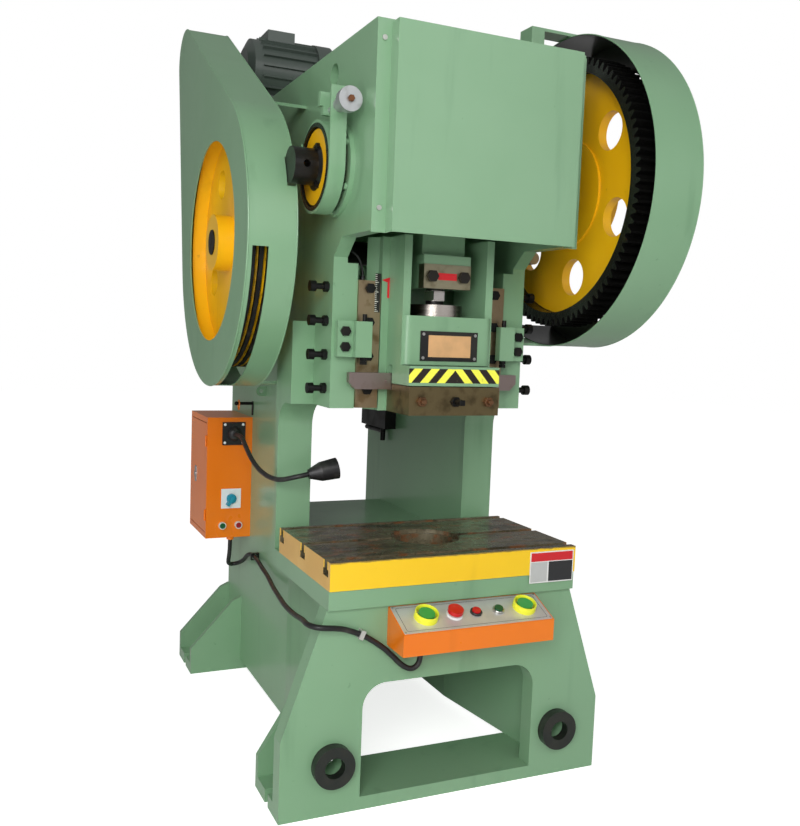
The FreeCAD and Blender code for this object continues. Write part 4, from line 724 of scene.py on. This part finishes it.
FINISH_NODES = {
    "green_enamel": "side_wall_left side_wall_right front_plate table_plate front_foot rear_feet gussets "
                    "throat_frames gib_carriers cross_plates crank_cover crank_bearings drive_bearings brake_band "
                    "brake_bracket slide knockout_brackets flywheel_guard guard_stays connecting_rod",
    "motor_dark_shaded_enamel": "motor",
    "cabinet_enamel": "electric_cabinet",
    "door_enamel": "cabinet_door",
    "orange_enamel": "control_box",
    "gear_guard_finish": "gear_guard",
    "bolster_finish": "bolster_plate",
    "gear_finish": "big_gear",
    "wheel_finish": "flywheel",
    "drum_finish": "brake_drum",
    "shaft_finish": "crankshaft",
    "dark_cast": "drive_shaft motor_pulley",
    "socket_finish": "lifting_sockets",
    "zinc": "cover_screws",
    "alloy": "brake_spring",
    "rod_steel": "rod_clamp",
    "screw_finish": "ball_screw",
    "cap_finish": "ball_cap",
    "slide_plate_finish": "warning_plate",
    "clamp_steel": "shank_clamp",
    "gib_steel": "gibs",
    "black_oxide": "front_bolts adjusting_bolts stop_screws",
    "bar_steel": "knockout_bar",
    "clutch_steel": "clutch_linkage",
    "belt_rubber": "v_belts",
    "teal": "switch_knob",
    "lamp_finish": "indicator_lamps",
    "black_rubber": "lamp_neck control_cable oil_line",
    "black_plastic": "lamp_shade",
    "shroud_yellow": "button_shrouds",
    "palm_green": "palm_left palm_right",
    "signal_red": "emergency_stop red_button",
    "deep_green": "green_button",
    "fitting_steel": "wall_fittings",
}
NODE_FINISH = {node: finish for finish, nodes in FINISH_NODES.items() for node in nodes.split()}


@dataclass
class FinishBook:
    """Makes each finish once and hands it out by its name."""

    made: dict[str, bpy.types.Material] = field(default_factory=dict)

    def get(self, name: str) -> bpy.types.Material:
        """Gives a finish, made the first time it is asked for.

        Args:
            name: The finish's name.

        Returns:
            Its material.
        """
        if name not in self.made:
            self.made[name] = FINISHES[name].build()
        return self.made[name]


# ------------------------------------------------------------------ numpy surfaces
def placed(name: str, data: bpy.types.ID) -> bpy.types.Object:
    """Makes an object and puts it in the scene.

    Args:
        name: The object's name.
        data: Its mesh, curve, light or camera.

    Returns:
        The new object.
    """
    made = bpy.data.objects.new(name, data)
    bpy.context.scene.collection.objects.link(made)
    return made


def full_turn(steps: int) -> np.ndarray:
    """Gives evenly spaced angles round a circle."""
    return np.linspace(0.0, 2.0 * math.pi, steps, endpoint=False)


def on_circle(turn: np.ndarray) -> np.ndarray:
    """Gives the points of the unit circle at some angles."""
    return np.stack([np.cos(turn), np.sin(turn)], axis=-1)


def unit(vector: Sequence[float]) -> np.ndarray:
    """Scales a vector to a length of one."""
    return np.asarray(vector, float) / np.linalg.norm(vector)


def mesh_object(name: str, rings: np.ndarray, closed: bool = False) -> bpy.types.Object:
    """Joins rings of points into a skin: ring i and i+1 share quads, and flat faces close open ends.

    Args:
        name: The piece's name.
        rings: An array of rings, points and three coordinates, in metres.
        closed: Joins the last ring to the first, as on a closed loop.

    Returns:
        The new object, with its faces pointing outwards.
    """
    count, size, _ = rings.shape
    rows = np.arange(count if closed else count - 1)
    i, j = np.meshgrid(rows, np.arange(size), indexing="ij")
    below, above = i * size, ((i + 1) % count) * size
    after = (j + 1) % size
    quads = np.stack([below + j, below + after, above + after, above + j], axis=-1).reshape(-1, 4)
    faces = quads.tolist()
    if not closed:
        faces += [list(range(size)), list(range((count - 1) * size, count * size))]
    mesh = bpy.data.meshes.new(name)
    mesh.from_pydata(rings.reshape(-1, 3).tolist(), [], faces)
    work = bmesh.new()
    work.from_mesh(mesh)
    bmesh.ops.remove_doubles(work, verts=work.verts, dist=1e-6)
    bmesh.ops.recalc_face_normals(work, faces=work.faces)
    work.to_mesh(mesh)
    work.free()
    mesh.shade_smooth()
    mesh.set_sharp_from_angle(angle=SHARP)
    return placed(name, mesh)


def basis(direction: Sequence[float]) -> tuple[np.ndarray, np.ndarray, np.ndarray]:
    """Gives a unit direction and two more at right angles to it, by cross products.

    Args:
        direction: The first direction, of any length.

    Returns:
        The three unit directions.
    """
    way = unit(direction)
    helper = np.array([0.0, 0.0, 1.0]) if abs(way[2]) < 0.9 else np.array([1.0, 0.0, 0.0])
    first = unit(np.cross(helper, way))
    return way, first, np.cross(way, first)


def spun(name: str, profile: Sequence[tuple[float, float]], centre: Sequence[float],
         direction: Sequence[float], sides: int = 48, ring: bool = False) -> bpy.types.Object:
    """Turns a profile about an axis: each point (height, radius) becomes a ring of cos and sin.

    Args:
        name: The piece's name.
        profile: Heights along the axis and radii, in millimetres.
        centre: The axis's start, in millimetres.
        direction: The axis's direction.
        sides: The points in each ring.
        ring: Joins the profile's end to its start, as on a collar with a hole.

    Returns:
        The new object.
    """
    way, first, second = basis(direction)
    table = np.asarray(profile, float)
    turn = full_turn(sides)
    circle = np.cos(turn)[:, None] * first + np.sin(turn)[:, None] * second
    rings = (np.asarray(centre, float) + table[:, 0][:, None, None] * way
             + table[:, 1][:, None, None] * circle[None])
    return mesh_object(name, rings * MM, closed=ring)


def hexagon(flats: float) -> np.ndarray:
    """Gives six corners at the flats' width over the root of three."""
    return on_circle(np.radians(np.arange(0, 360, 60))) * (flats / math.sqrt(3.0))


def swept(name: str, path: np.ndarray, radius: float, sides: int, closed: bool = False,
          up: Sequence[float] = (0.0, 0.0, 1.0), flat: float = 1.0) -> bpy.types.Object:
    """Carries a round or flattened section along a path, square to the path at each point.

    Args:
        name: The piece's name.
        path: The points of the path, in millimetres.
        radius: The section's radius, in millimetres.
        sides: The points in each section.
        closed: Joins the path's end to its start.
        up: A direction that is never along the path.
        flat: The share of the radius that is kept along the second direction.

    Returns:
        The new object.
    """
    ahead = np.roll(path, -1, axis=0) - np.roll(path, 1, axis=0) if closed else np.gradient(path, axis=0)
    ahead = ahead / np.linalg.norm(ahead, axis=1)[:, None]
    first = np.cross(np.asarray(up, float), ahead)
    first /= np.linalg.norm(first, axis=1)[:, None]
    second = np.cross(ahead, first)
    turn = full_turn(sides)
    rings = (path[:, None, :] + radius * np.cos(turn)[None, :, None] * first[:, None, :]
             + radius * flat * np.sin(turn)[None, :, None] * second[:, None, :])
    return mesh_object(name, rings * MM, closed=closed)


def rounded(width: float, height: float, radius: float, steps: int = 6) -> np.ndarray:
    """Gives a rectangle with round corners: four quarter circles, one about each inner corner.

    Args:
        width: The size along the first coordinate.
        height: The size along the second.
        radius: The corners' radius.
        steps: The points in each quarter circle.

    Returns:
        The outline's points.
    """
    quarter = np.linspace(0.0, math.pi / 2, steps)
    inner = np.array([width / 2 - radius, height / 2 - radius])
    return np.concatenate([np.array(signs) * inner + radius * on_circle(quarter + k * math.pi / 2)
                           for k, signs in enumerate(((1, 1), (-1, 1), (-1, -1), (1, -1)))])


def slab(name: str, shape: np.ndarray, origin: Sequence[float], right: Sequence[float], up: Sequence[float],
         thick: float, edge: float = 0.3) -> bpy.types.Object:
    """Raises a flat outline off a plane, drawn in a little at its top for a soft edge.

    Args:
        name: The piece's name.
        shape: The outline's points on the plane, in millimetres.
        origin: The outline's origin, in millimetres.
        right: The direction of the outline's first coordinate.
        up: The direction of its second coordinate.
        thick: The height of the slab above the plane, along right times up.
        edge: How far the top is drawn in.

    Returns:
        The new object.
    """
    right_way, up_way = unit(right), unit(up)
    out = np.cross(right_way, up_way)
    middle = (shape.max(0) + shape.min(0)) / 2
    half = (shape.max(0) - shape.min(0)) / 2
    rings = []
    for height, inset in ((0.0, 0.0), (max(thick - edge, thick * 0.5), 0.0), (thick, edge)):
        drawn = middle + (shape - middle) * (1.0 - inset / half)
        rings.append(np.asarray(origin, float) + drawn[:, :1] * right_way + drawn[:, 1:] * up_way + height * out)
    return mesh_object(name, np.stack(rings) * MM)


def arc_path(centre: tuple[float, float], radius: float, low: float, high: float, x: float,
             steps: int = 90) -> np.ndarray:
    """Gives points on an arc about an axle along X: cos along Y, sin along Z."""
    turn = np.radians(np.linspace(low, high, steps))
    return np.column_stack([np.full(steps, x), np.array(centre) + radius * on_circle(turn)])


def joined(name: str, parts: Sequence[bpy.types.Object]) -> bpy.types.Object:
    """Makes one piece of several closed skins.

    Args:
        name: The piece's name.
        parts: The objects, which are used up.

    Returns:
        The first object, which now holds all the skins.
    """
    work = bmesh.new()
    for part in parts:
        work.from_mesh(part.data)
    first = parts[0]
    work.to_mesh(first.data)
    work.free()
    for part in parts[1:]:
        bpy.data.objects.remove(part)
    first.name = first.data.name = name
    first.data.shade_smooth()
    first.data.set_sharp_from_angle(angle=SHARP)
    return first


@dataclass
class Assembly:
    """A group of added pieces that share the press's finishes."""

    book: FinishBook

    def keep(self, piece: bpy.types.Object, body: Body, slot: str, finish: str) -> bpy.types.Object:
        """Gives a piece its finish and its body.

        Args:
            piece: The new object.
            body: The CAD body that it rides on.
            slot: The record's material slot; not used.
            finish: The finish's name.

        Returns:
            The same piece.
        """
        piece.data.materials.clear()
        piece.data.materials.append(self.book.get(finish))
        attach(piece, body.value)
        LOG.info("%s on %s", piece.name, body.value)
        return piece


@dataclass
class FramePieces(Assembly):
    """The CAD pieces, each with its own finish."""

    def dress(self, nodes: dict[str, bpy.types.Object]) -> None:
        """Puts a finish on each CAD piece.

        Args:
            nodes: The frame's CAD objects by name.
        """
        for name, thing in nodes.items():
            finish = self.book.get(NODE_FINISH[name])
            if not thing.material_slots:
                thing.data.materials.append(finish)
            for slot in thing.material_slots:
                slot.material = finish
            LOG.info("%s dressed", name)


@dataclass
class ControlPanel(Assembly):
    """The sloping face plate of the control box with the collars round its buttons."""

    left: float = -188.0
    right: float = 237.0
    low: tuple[float, float] = (-292.0, 473.0)
    high: tuple[float, float] = (-193.0, 515.0)
    margin: float = 3.0
    button_row: float = 53.2
    palm_buttons: Span = (-108.0, 174.0)
    plate_thick: float = 0.8
    border_inset: Span = (22.0, 16.0)
    line_height: float = 0.85
    screw_inset: float = 5.0
    screw_head: Profile = ((0.4, 2.6), (1.6, 2.4), (2.2, 1.4), (2.2, 0.0))
    wide_collar: Profile = ((0.6, 21.5), (3.2, 21.0), (4.8, 19.0), (4.8, 9.5), (0.6, 9.5))
    narrow_collar: Profile = ((0.6, 15.5), (5.5, 15.5), (7.0, 14.0), (7.0, 11.8), (0.6, 11.8))
    shroud_wall: Profile = ((0.2, 30.5), (18.0, 30.5), (19.5, 29.5), (19.5, 28.0), (18.0, 27.0), (0.2, 27.0))

    def directions(self) -> tuple[np.ndarray, np.ndarray]:
        """Gives the directions across and up the slope."""
        slope = np.array([0.0, self.high[0] - self.low[0], self.high[1] - self.low[1]])
        return np.array([1.0, 0.0, 0.0]), unit(slope)

    def point(self, x: float, along: float) -> np.ndarray:
        """Gives a point on the slope at a distance up from its lower edge."""
        _, up = self.directions()
        return np.array([x, self.low[0], self.low[1]]) + along * up

    def build(self) -> None:
        """Makes the plate, its thin border line, its screws and the collars."""
        right, up = self.directions()
        out = np.cross(right, up)
        length = math.dist(self.low, self.high)
        middle = self.point((self.left + self.right) / 2, length / 2)
        width, height = self.right - self.left - 2 * self.margin, length - 2 * self.margin
        plate = slab("panel_plate", rounded(width, height, 3.0), middle, right, up, self.plate_thick)
        self.keep(plate, Body.FRAME, "box_paint", "panel_finish")
        border = rounded(width - self.border_inset[0], height - self.border_inset[1], 5.0)
        path = middle + border[:, :1] * right + border[:, 1:] * up + self.line_height * out
        self.keep(swept("panel_line", path, 0.55, 6, True, tuple(out), 0.4), Body.FRAME, "black_plastic",
                  "black_plastic")
        across, along = width / 2 - self.screw_inset, height / 2 - self.screw_inset
        for sx, sy in product((-1, 1), repeat=2):
            corner = middle + sx * across * right + sy * along * up
            screw = spun(f"panel_screw_{'lr'[sx > 0]}{'ft'[sy > 0]}", self.screw_head, corner, out, 16)
            self.keep(screw, Body.FRAME, "zinc", "zinc")
        self._collars(out)

    def _collars(self, out: np.ndarray) -> None:
        """Makes the collars round the three small buttons and the shrouds round the two palm buttons.

        Args:
            out: The direction that the buttons stand in.
        """
        for name, x, profile, slot, finish in (
                ("stop_collar", -28.0, self.wide_collar, "zinc", "white_plastic"),
                ("red_collar", 33.0, self.narrow_collar, "black_plastic", "black_plastic"),
                ("green_collar", 98.0, self.narrow_collar, "zinc", "zinc")):
            self.keep(spun(name, profile, self.point(x, self.button_row), out, ring=True), Body.FRAME, slot, finish)
        rings = [spun("shroud", self.shroud_wall, self.point(x, self.button_row), out, ring=True)
                 for x in self.palm_buttons]
        shrouds = self.keep(joined("palm_shrouds", rings), Body.FRAME, "yellow_plastic", "shroud_yellow")
        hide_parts("button_shrouds")


@dataclass
class SlideMarks(Assembly):
    """The striped tape, the height scale, the pointer and the wordless tags."""

    tape_half: float = 130.0
    tape_low: float = 1068.0
    tape_high: float = 1104.0
    ledge_front: float = -138.0
    clamp_front: float = -72.0
    guide_front: float = 8.0
    gib_front: float = 4.0
    bolster_front: float = -210.2

    def build(self) -> None:
        """Makes the marks on the slide, the gib, the rod and the bolster's front."""
        high = self.tape_high - self.tape_low
        flag = np.array([(-16.0, 0.0), (12.0, -9.5), (12.0, 9.5)])
        for name, shape, place, thick, edge, body, slot, finish in (
                ("hazard_tape", rounded(2 * self.tape_half, high, 0.6),
                 (0, self.ledge_front, self.tape_low + high / 2), 0.35, 0.1,
                 Body.RAM, "yellow_plastic", "hazard_stripes"),
                ("height_scale", rounded(15.0, 101.0, 0.8), (-164.0, self.gib_front, 1293.0), 0.8, 0.3,
                 Body.FRAME, "black_plastic", "scale_marks"),
                ("pointer_flag", flag, (-136.0, self.guide_front, 1327.5), 3.0, 0.3,
                 Body.RAM, "red_plastic", "tag_red"),
                ("pointer_stem", rounded(8.0, 42.0, 3.0), (-131.0, self.guide_front, 1302.0), 2.2, 0.3,
                 Body.RAM, "red_plastic", "tag_red"),
                ("clamp_tag", rounded(54.0, 18.0, 1.2), (0, self.clamp_front, 1341.0), 0.8, 0.3,
                 Body.ROD, "red_plastic", "tag_red"),
                ("front_tag", rounded(136.0, 84.0, 2.0), (276.0, self.bolster_front, 588.0), 0.8, 0.3,
                 Body.FRAME, "box_paint", "front_plate_finish")):
            self.keep(slab(name, shape, place, RIGHT, UP, thick, edge), body, slot, finish)


@dataclass
class Fittings(Assembly):
    """Small heads and caps on the brake, the drum and the lamp's mount, the lock plate and the rod's loop."""

    cap_bolt: Triple = (-328.0, -188.0, 1726.0)
    drum_middle: Triple = (-346.0, -24.0, 1595.0)
    drum_reach: float = 46.0
    lock: Triple = (-435.0, 921.0, 683.0)
    mount: Triple = (-348.0, 749.0, 839.0)
    mount_reach: float = 30.0
    loop_x: float = -333.0
    loop_middle: Span = (754.0, 934.0)
    loop_half: Span = (8.5, 16.0)
    dome: Profile = ((0.0, 23.0), (5.0, 22.6), (11.0, 20.0), (16.0, 15.5), (18.5, 9.0), (18.5, 0.0))
    screw_head: Profile = ((0.0, 4.6), (1.6, 4.2), (2.6, 2.4), (2.8, 0.0))

    def bolt(self, name: str, body: Body, place: Triple, way: Triple, flats: float, high: float,
             finish: str = "black_oxide") -> None:
        """Adds a hexagon head that stands on its seat's middle; all lengths are in millimetres."""
        _, first, second = basis(way)
        self.keep(slab(name, hexagon(flats), place, first, second, high, 0.8), body, "black_steel", finish)

    def build(self) -> None:
        """Makes the heads, the door's lock plate, the lamp's dome and its screws, and the loop on the rod."""
        self.bolt("brake_cap_bolt", Body.FRAME, self.cap_bolt, FORWARD, 14.0, 8.0, "copper")
        lock = slab("lock_plate", rounded(26.0, 54.0, 4.0), self.lock, FORWARD, UP, 2.0)
        self.keep(lock, Body.DOOR, "zinc", "alloy")
        x, y, z = self.drum_middle
        for name, side in (("drum_bolt_upper", 1), ("drum_bolt_lower", -1)):
            self.bolt(name, Body.CRANK, (x, y, z + side * self.drum_reach), LEFT, 17.0, 9.0)
        self.keep(spun("lamp_dome", self.dome, self.mount, FORWARD), Body.FRAME, "rubber", "black_rubber")
        x, y, z = self.mount
        for side, level in product((-1, 1), repeat=2):
            place = (x + side * self.mount_reach, y, z + level * self.mount_reach)
            screw = spun(f"mount_screw_{'lr'[side > 0]}{'bt'[level > 0]}", self.screw_head, place, FORWARD, 20)
            self.keep(screw, Body.FRAME, "zinc", "white_plastic")
        oval = np.array(self.loop_middle) + np.array(self.loop_half) * on_circle(full_turn(40))
        loop = np.column_stack([np.full(len(oval), self.loop_x), oval])
        self.keep(swept("rod_loop", loop, 2.0, 10, True, RIGHT), Body.FRAME, "orange_paint", "orange_enamel")


@dataclass
class ShankClamp(Assembly):
    """The clamp block under the slide, with half a bore for the shank and a ledge on its front."""

    half: float = 129.0
    front: float = -142.0
    low: float = 985.0
    step: float = 1042.7
    top: float = 1058.0
    step_rear: float = -31.3
    bore: float = 20.0
    bolt_z: float = 1021.0
    bolt_x: float = 96.0
    screw_reach: float = 34.0
    nut_flats: float = 23.0
    nut_high: float = 12.0
    stud: Profile = ((0.0, 7.0), (21.0, 7.0), (23.0, 5.5))
    screw_nut_flats: float = 24.0
    screw_nut_high: float = 11.0
    screw_radius: float = 8.0
    screw_square: float = 14.0
    square_high: float = 11.0

    def build(self) -> None:
        """Makes the block, the nuts on its two studs and the set screw in the middle."""
        notch = self.bore * on_circle(np.linspace(math.pi, 2.0 * math.pi, 24))
        body = np.concatenate([[(-self.half, self.front), (self.half, self.front), (self.half, 0.0)],
                               notch[::-1], [(-self.half, 0.0)]])
        ledge = np.array([(-self.half, self.front), (self.half, self.front), (self.half, self.step_rear),
                          (-self.half, self.step_rear)])
        parts = [slab("block", body, (0, 0, self.low), RIGHT, BACK, self.step - self.low, 0.01),
                 slab("ledge", ledge, (0, 0, self.step), RIGHT, BACK, self.top - self.step, 0.01)]
        block = self.keep(joined("clamp_block", parts), Body.RAM, "gib_steel", "clamp_steel")
        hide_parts("shank_clamp")
        for side, name in zip((-1, 1), SIDES):
            place = (side * self.bolt_x, self.front, self.bolt_z)
            nut = slab("nut", hexagon(self.nut_flats), place, RIGHT, UP, self.nut_high, 1.0)
            stud = spun("stud", self.stud, place, FORWARD, 24)
            self.keep(joined(f"clamp_nut_{name}", [nut, stud]), Body.RAM, "steel", "rusty_steel")
        place = (0.0, self.front, self.bolt_z)
        head_place = (0.0, self.front - self.screw_reach, self.bolt_z)
        parts = [slab("nut", hexagon(self.screw_nut_flats), place, RIGHT, UP, self.screw_nut_high, 1.0),
                 spun("screw", ((0.0, self.screw_radius), (self.screw_reach, self.screw_radius)), place, FORWARD, 24),
                 slab("head", rounded(self.screw_square, self.screw_square, 2.0), head_place, RIGHT, UP,
                      self.square_high, 0.8)]
        self.keep(joined("clamp_screw", parts), Body.RAM, "black_steel", "black_oxide")


CABLE_ROUTE = (
    (-348, 772, 489.7), (-348, 772, 452), (-349, 777, 422), (-348, 792, 399), (-341, 810, 386),
    (-327, 820, 381), (-312, 815, 384), (-302, 797, 393), (-299, 768, 408), (-300, 730, 431), (-300, 690, 446),
    (-300, 620, 451), (-300, 545, 435), (-302, 470, 427), (-316, 370, 423), (-332, 260, 428), (-352, 130, 437),
    (-366, 0, 452), (-377, -90, 470), (-387, -140, 480), (-394, -175, 486), (-392, -205, 489),
    (-376, -222, 488), (-350, -222, 485), (-315, -211, 477), (-280, -205, 463), (-250, -205, 449),
    (-205, -206, 419), (-178, -213, 393), (-158, -220, 372), (-136, -224, 360), (-117, -225, 366),
    (-108, -224, 386), (-108, -223, 417.7))


@dataclass
class ControlCable(Assembly):
    """The control cable, held by clips along the wall between the cabinet and the control box."""

    name: str = "flex_cable"
    radius: float = 0.007
    length: float = 1.571

    def build(self) -> None:
        """Makes the cable as one smooth curve."""
        curve = bpy.data.curves.new(self.name, "CURVE")
        curve.dimensions = "3D"
        curve.bevel_depth = self.radius
        curve.bevel_resolution = 5
        curve.use_fill_caps = True
        spline = curve.splines.new("NURBS")
        spline.points.add(len(CABLE_ROUTE) - 1)
        for point, place in zip(spline.points, CABLE_ROUTE):
            point.co = (*(np.array(place) * MM), 1.0)
        spline.order_u = 3
        spline.use_endpoint_u = True
        spline.resolution_u = 8
        piece = self.keep(placed(self.name, curve), Body.FRAME, "rubber", "black_rubber")
        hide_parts("control_cable")


@dataclass
class GuardEdges(Assembly):
    """The rolled edges of the two guards, and the ring that closes the gear's guard on its far side."""

    edge: float = 2.0
    wheel_radius: float = 405.0
    small_radius: float = 95.0
    motor: tuple[float, float] = (815.0, 2025.0)
    gear_radius: float = 423.0
    flange: Span = (350.0, 420.0)
    flange_x: Span = (510.0, 512.5)
    gear_turn: Span = (80.5, 299.5)
    wheel_guard_x: Span = (-514.5, -390.5)
    gear_guard_x: Span = (370.0, 513.0)

    def teardrop(self, x: float) -> np.ndarray:
        """Gives the closed outline of two circles and their outer tangents, in the plane of one X.

        The tangents touch at the angle whose cosine is the radii's difference over the circles' distance.

        Args:
            x: The plane's place, in millimetres.

        Returns:
            The outline's points, in millimetres.
        """
        centre, motor = np.array(WHEEL) / MM, np.array(self.motor)
        ahead = motor - centre
        apart = float(np.linalg.norm(ahead))
        heading = math.atan2(ahead[1], ahead[0])
        spread = math.acos((self.wheel_radius - self.small_radius) / apart)
        large = heading + np.linspace(spread, 2.0 * math.pi - spread, 110)
        small = heading + np.linspace(-spread, spread, 24)
        flat = np.concatenate([centre + self.wheel_radius * on_circle(large),
                               motor + self.small_radius * on_circle(small)])
        return np.column_stack([np.full(len(flat), x), flat])

    def build(self) -> None:
        """Makes the edges along the guards' rims and the flange."""
        for x, name in zip(self.wheel_guard_x, SIDES):
            edge = swept(f"wheel_guard_edge_{name}", self.teardrop(x), self.edge, 8, True, RIGHT)
            self.keep(edge, Body.FRAME, "green_paint", "green_enamel")
        centre = (CRANK[0] / MM, CRANK[1] / MM)
        for x, name in zip(self.gear_guard_x, SIDES):
            path = arc_path(centre, self.gear_radius, *self.gear_turn, x)
            self.keep(swept(f"gear_guard_edge_{name}", path, self.edge, 8, up=RIGHT), Body.FRAME, "green_paint",
                      "green_enamel")
        (inner, outer), (near, far) = self.flange, self.flange_x
        section = ((inner, near), (outer, near), (outer, far), (inner, far))
        rings = np.stack([arc_path(centre, radius, *self.gear_turn, x) for radius, x in section], axis=1) * MM
        self.keep(mesh_object("gear_guard_flange", rings), Body.FRAME, "green_paint", "gear_guard_finish")


@dataclass
class Stage:
    """The floor, the lights, the backdrop's light and the camera of the photograph."""

    eye: Triple = (-1.0993, -2.2331, 1.1926)
    azimuth: float = 24.353
    pitch: float = -4.991
    roll: float = 2.181
    focal_pixels: float = 921.75
    image_width: float = 800.0
    sensor: float = 36.0
    front_fill: float = 0.41
    rear_fill: float = 0.16
    floor_side: float = 24000.0
    floor_top: float = -0.1
    floor_thick: float = 2.9
    floor_glow: float = 0.85
    lamps: tuple[tuple[str, Triple, Triple, float, float], ...] = (
        ("key", (-2.1, -3.4, 2.5), (0.0, 0.0, 1.3), 1.8, 86.0),
        ("right", (1.8, -4.4, 3.2), (0.0, 0.0, 1.1), 2.8, 22.0),
        ("side", (-4.4, 0.2, 2.2), (-0.3, 0.3, 1.3), 2.2, 5.0),
        ("low", (-2.3, -2.2, 0.85), (-0.4, 0.5, 0.7), 1.1, 14.0))

    def camera(self) -> None:
        """Places the camera by its eye, its heading, its pitch and its roll."""
        heading, pitch, roll = (math.radians(v) for v in (self.azimuth, self.pitch, self.roll))
        ahead = Vector((math.sin(heading) * math.cos(pitch), math.cos(heading) * math.cos(pitch), math.sin(pitch)))
        level = Vector((math.cos(heading), -math.sin(heading), 0.0))
        upright = level.cross(ahead)
        right = level * math.cos(roll) + upright * math.sin(roll)
        up = upright * math.cos(roll) - level * math.sin(roll)
        data = bpy.data.cameras.new("photo_camera")
        data.sensor_fit = "HORIZONTAL"
        data.sensor_width = self.sensor
        data.lens = self.focal_pixels * self.sensor / self.image_width
        data.clip_end = 100.0
        made = placed("photo_camera", data)
        turn = Matrix((right, up, -ahead)).transposed().to_4x4()
        made.matrix_world = Matrix.Translation(Vector(self.eye)) @ turn
        bpy.context.scene.camera = made

    def light(self, name: str, place: Triple, aim: Triple, size: float, power: float) -> None:
        """Adds a soft square light.

        Args:
            name: The light's name.
            place: Where it hangs, in metres.
            aim: The point it faces, in metres.
            size: The side of its square, in metres.
            power: Its power in watts.
        """
        data = bpy.data.lights.new(name, "AREA")
        data.shape = "SQUARE"
        data.size = size
        data.energy = power
        made = placed(name, data)
        made.location = place
        made.rotation_euler = (Vector(aim) - Vector(place)).to_track_quat("-Z", "Y").to_euler()

    def surround(self) -> bpy.types.World:
        """Makes the plain white surround, which lights the press more from the front than from the rear.

        Returns:
            The world.
        """
        world = bpy.data.worlds.new("studio")
        world.use_nodes = True
        tree = world.node_tree
        made = {kind: tree.nodes.new(f"ShaderNode{kind}")
                for kind in ("TexCoord", "SeparateXYZ", "MapRange", "LightPath", "Mix")}
        for socket, value in (("From Min", -1.0), ("From Max", 1.0), ("To Min", self.front_fill),
                              ("To Max", self.rear_fill)):
            made["MapRange"].inputs[socket].default_value = value
        made["Mix"].inputs["B"].default_value = 1.0
        for start, end in ((made["TexCoord"].outputs["Generated"], made["SeparateXYZ"].inputs[0]),
                           (made["SeparateXYZ"].outputs["Y"], made["MapRange"].inputs["Value"]),
                           (made["LightPath"].outputs["Is Camera Ray"], made["Mix"].inputs["Factor"]),
                           (made["MapRange"].outputs["Result"], made["Mix"].inputs["A"]),
                           (made["Mix"].outputs["Result"], tree.nodes["Background"].inputs["Strength"])):
            tree.links.new(start, end)
        tree.nodes["Background"].inputs["Color"].default_value = (1.0, 1.0, 1.0, 1.0)
        return world

    def build(self) -> None:
        """Places the camera and makes the floor, the lights and the white surround."""
        self.camera()
        floor = slab("floor", rounded(self.floor_side, self.floor_side, self.floor_side / 8, 24),
                     (0, 2000, self.floor_top - self.floor_thick), RIGHT, BACK, self.floor_thick)
        shader = Shader("pale_floor")
        cloud = shader.noise(1.5, 3.0)
        pale = shader.mix(cloud, "F4F4F3", "F7F7F6")
        seen = shader.node("ShaderNodeLightPath", output="Is Camera Ray")
        lift = shader.mix(seen, "000000", "F4F4F4")
        floor.data.materials.append(shader.finish(Base_Color=pale, Roughness=0.7, Emission_Color=lift,
                                                  Emission_Strength=self.floor_glow))
        for lamp in self.lamps:
            self.light(*lamp)
        bpy.context.scene.world = self.surround()
        bpy.context.scene.view_settings.view_transform = "Standard"


def main() -> None:
    """Builds the stage, dresses the press and adds its trim."""
    logging.basicConfig(level=logging.INFO, format="%(name)s: %(message)s")
    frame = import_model()
    book = FinishBook()
    Stage().build()
    FramePieces(book).dress(frame["nodes"])
    for group in (ControlPanel, SlideMarks, Fittings, ShankClamp, GuardEdges, ControlCable):
        group(book).build()


if __name__ == "__main__":
    main()
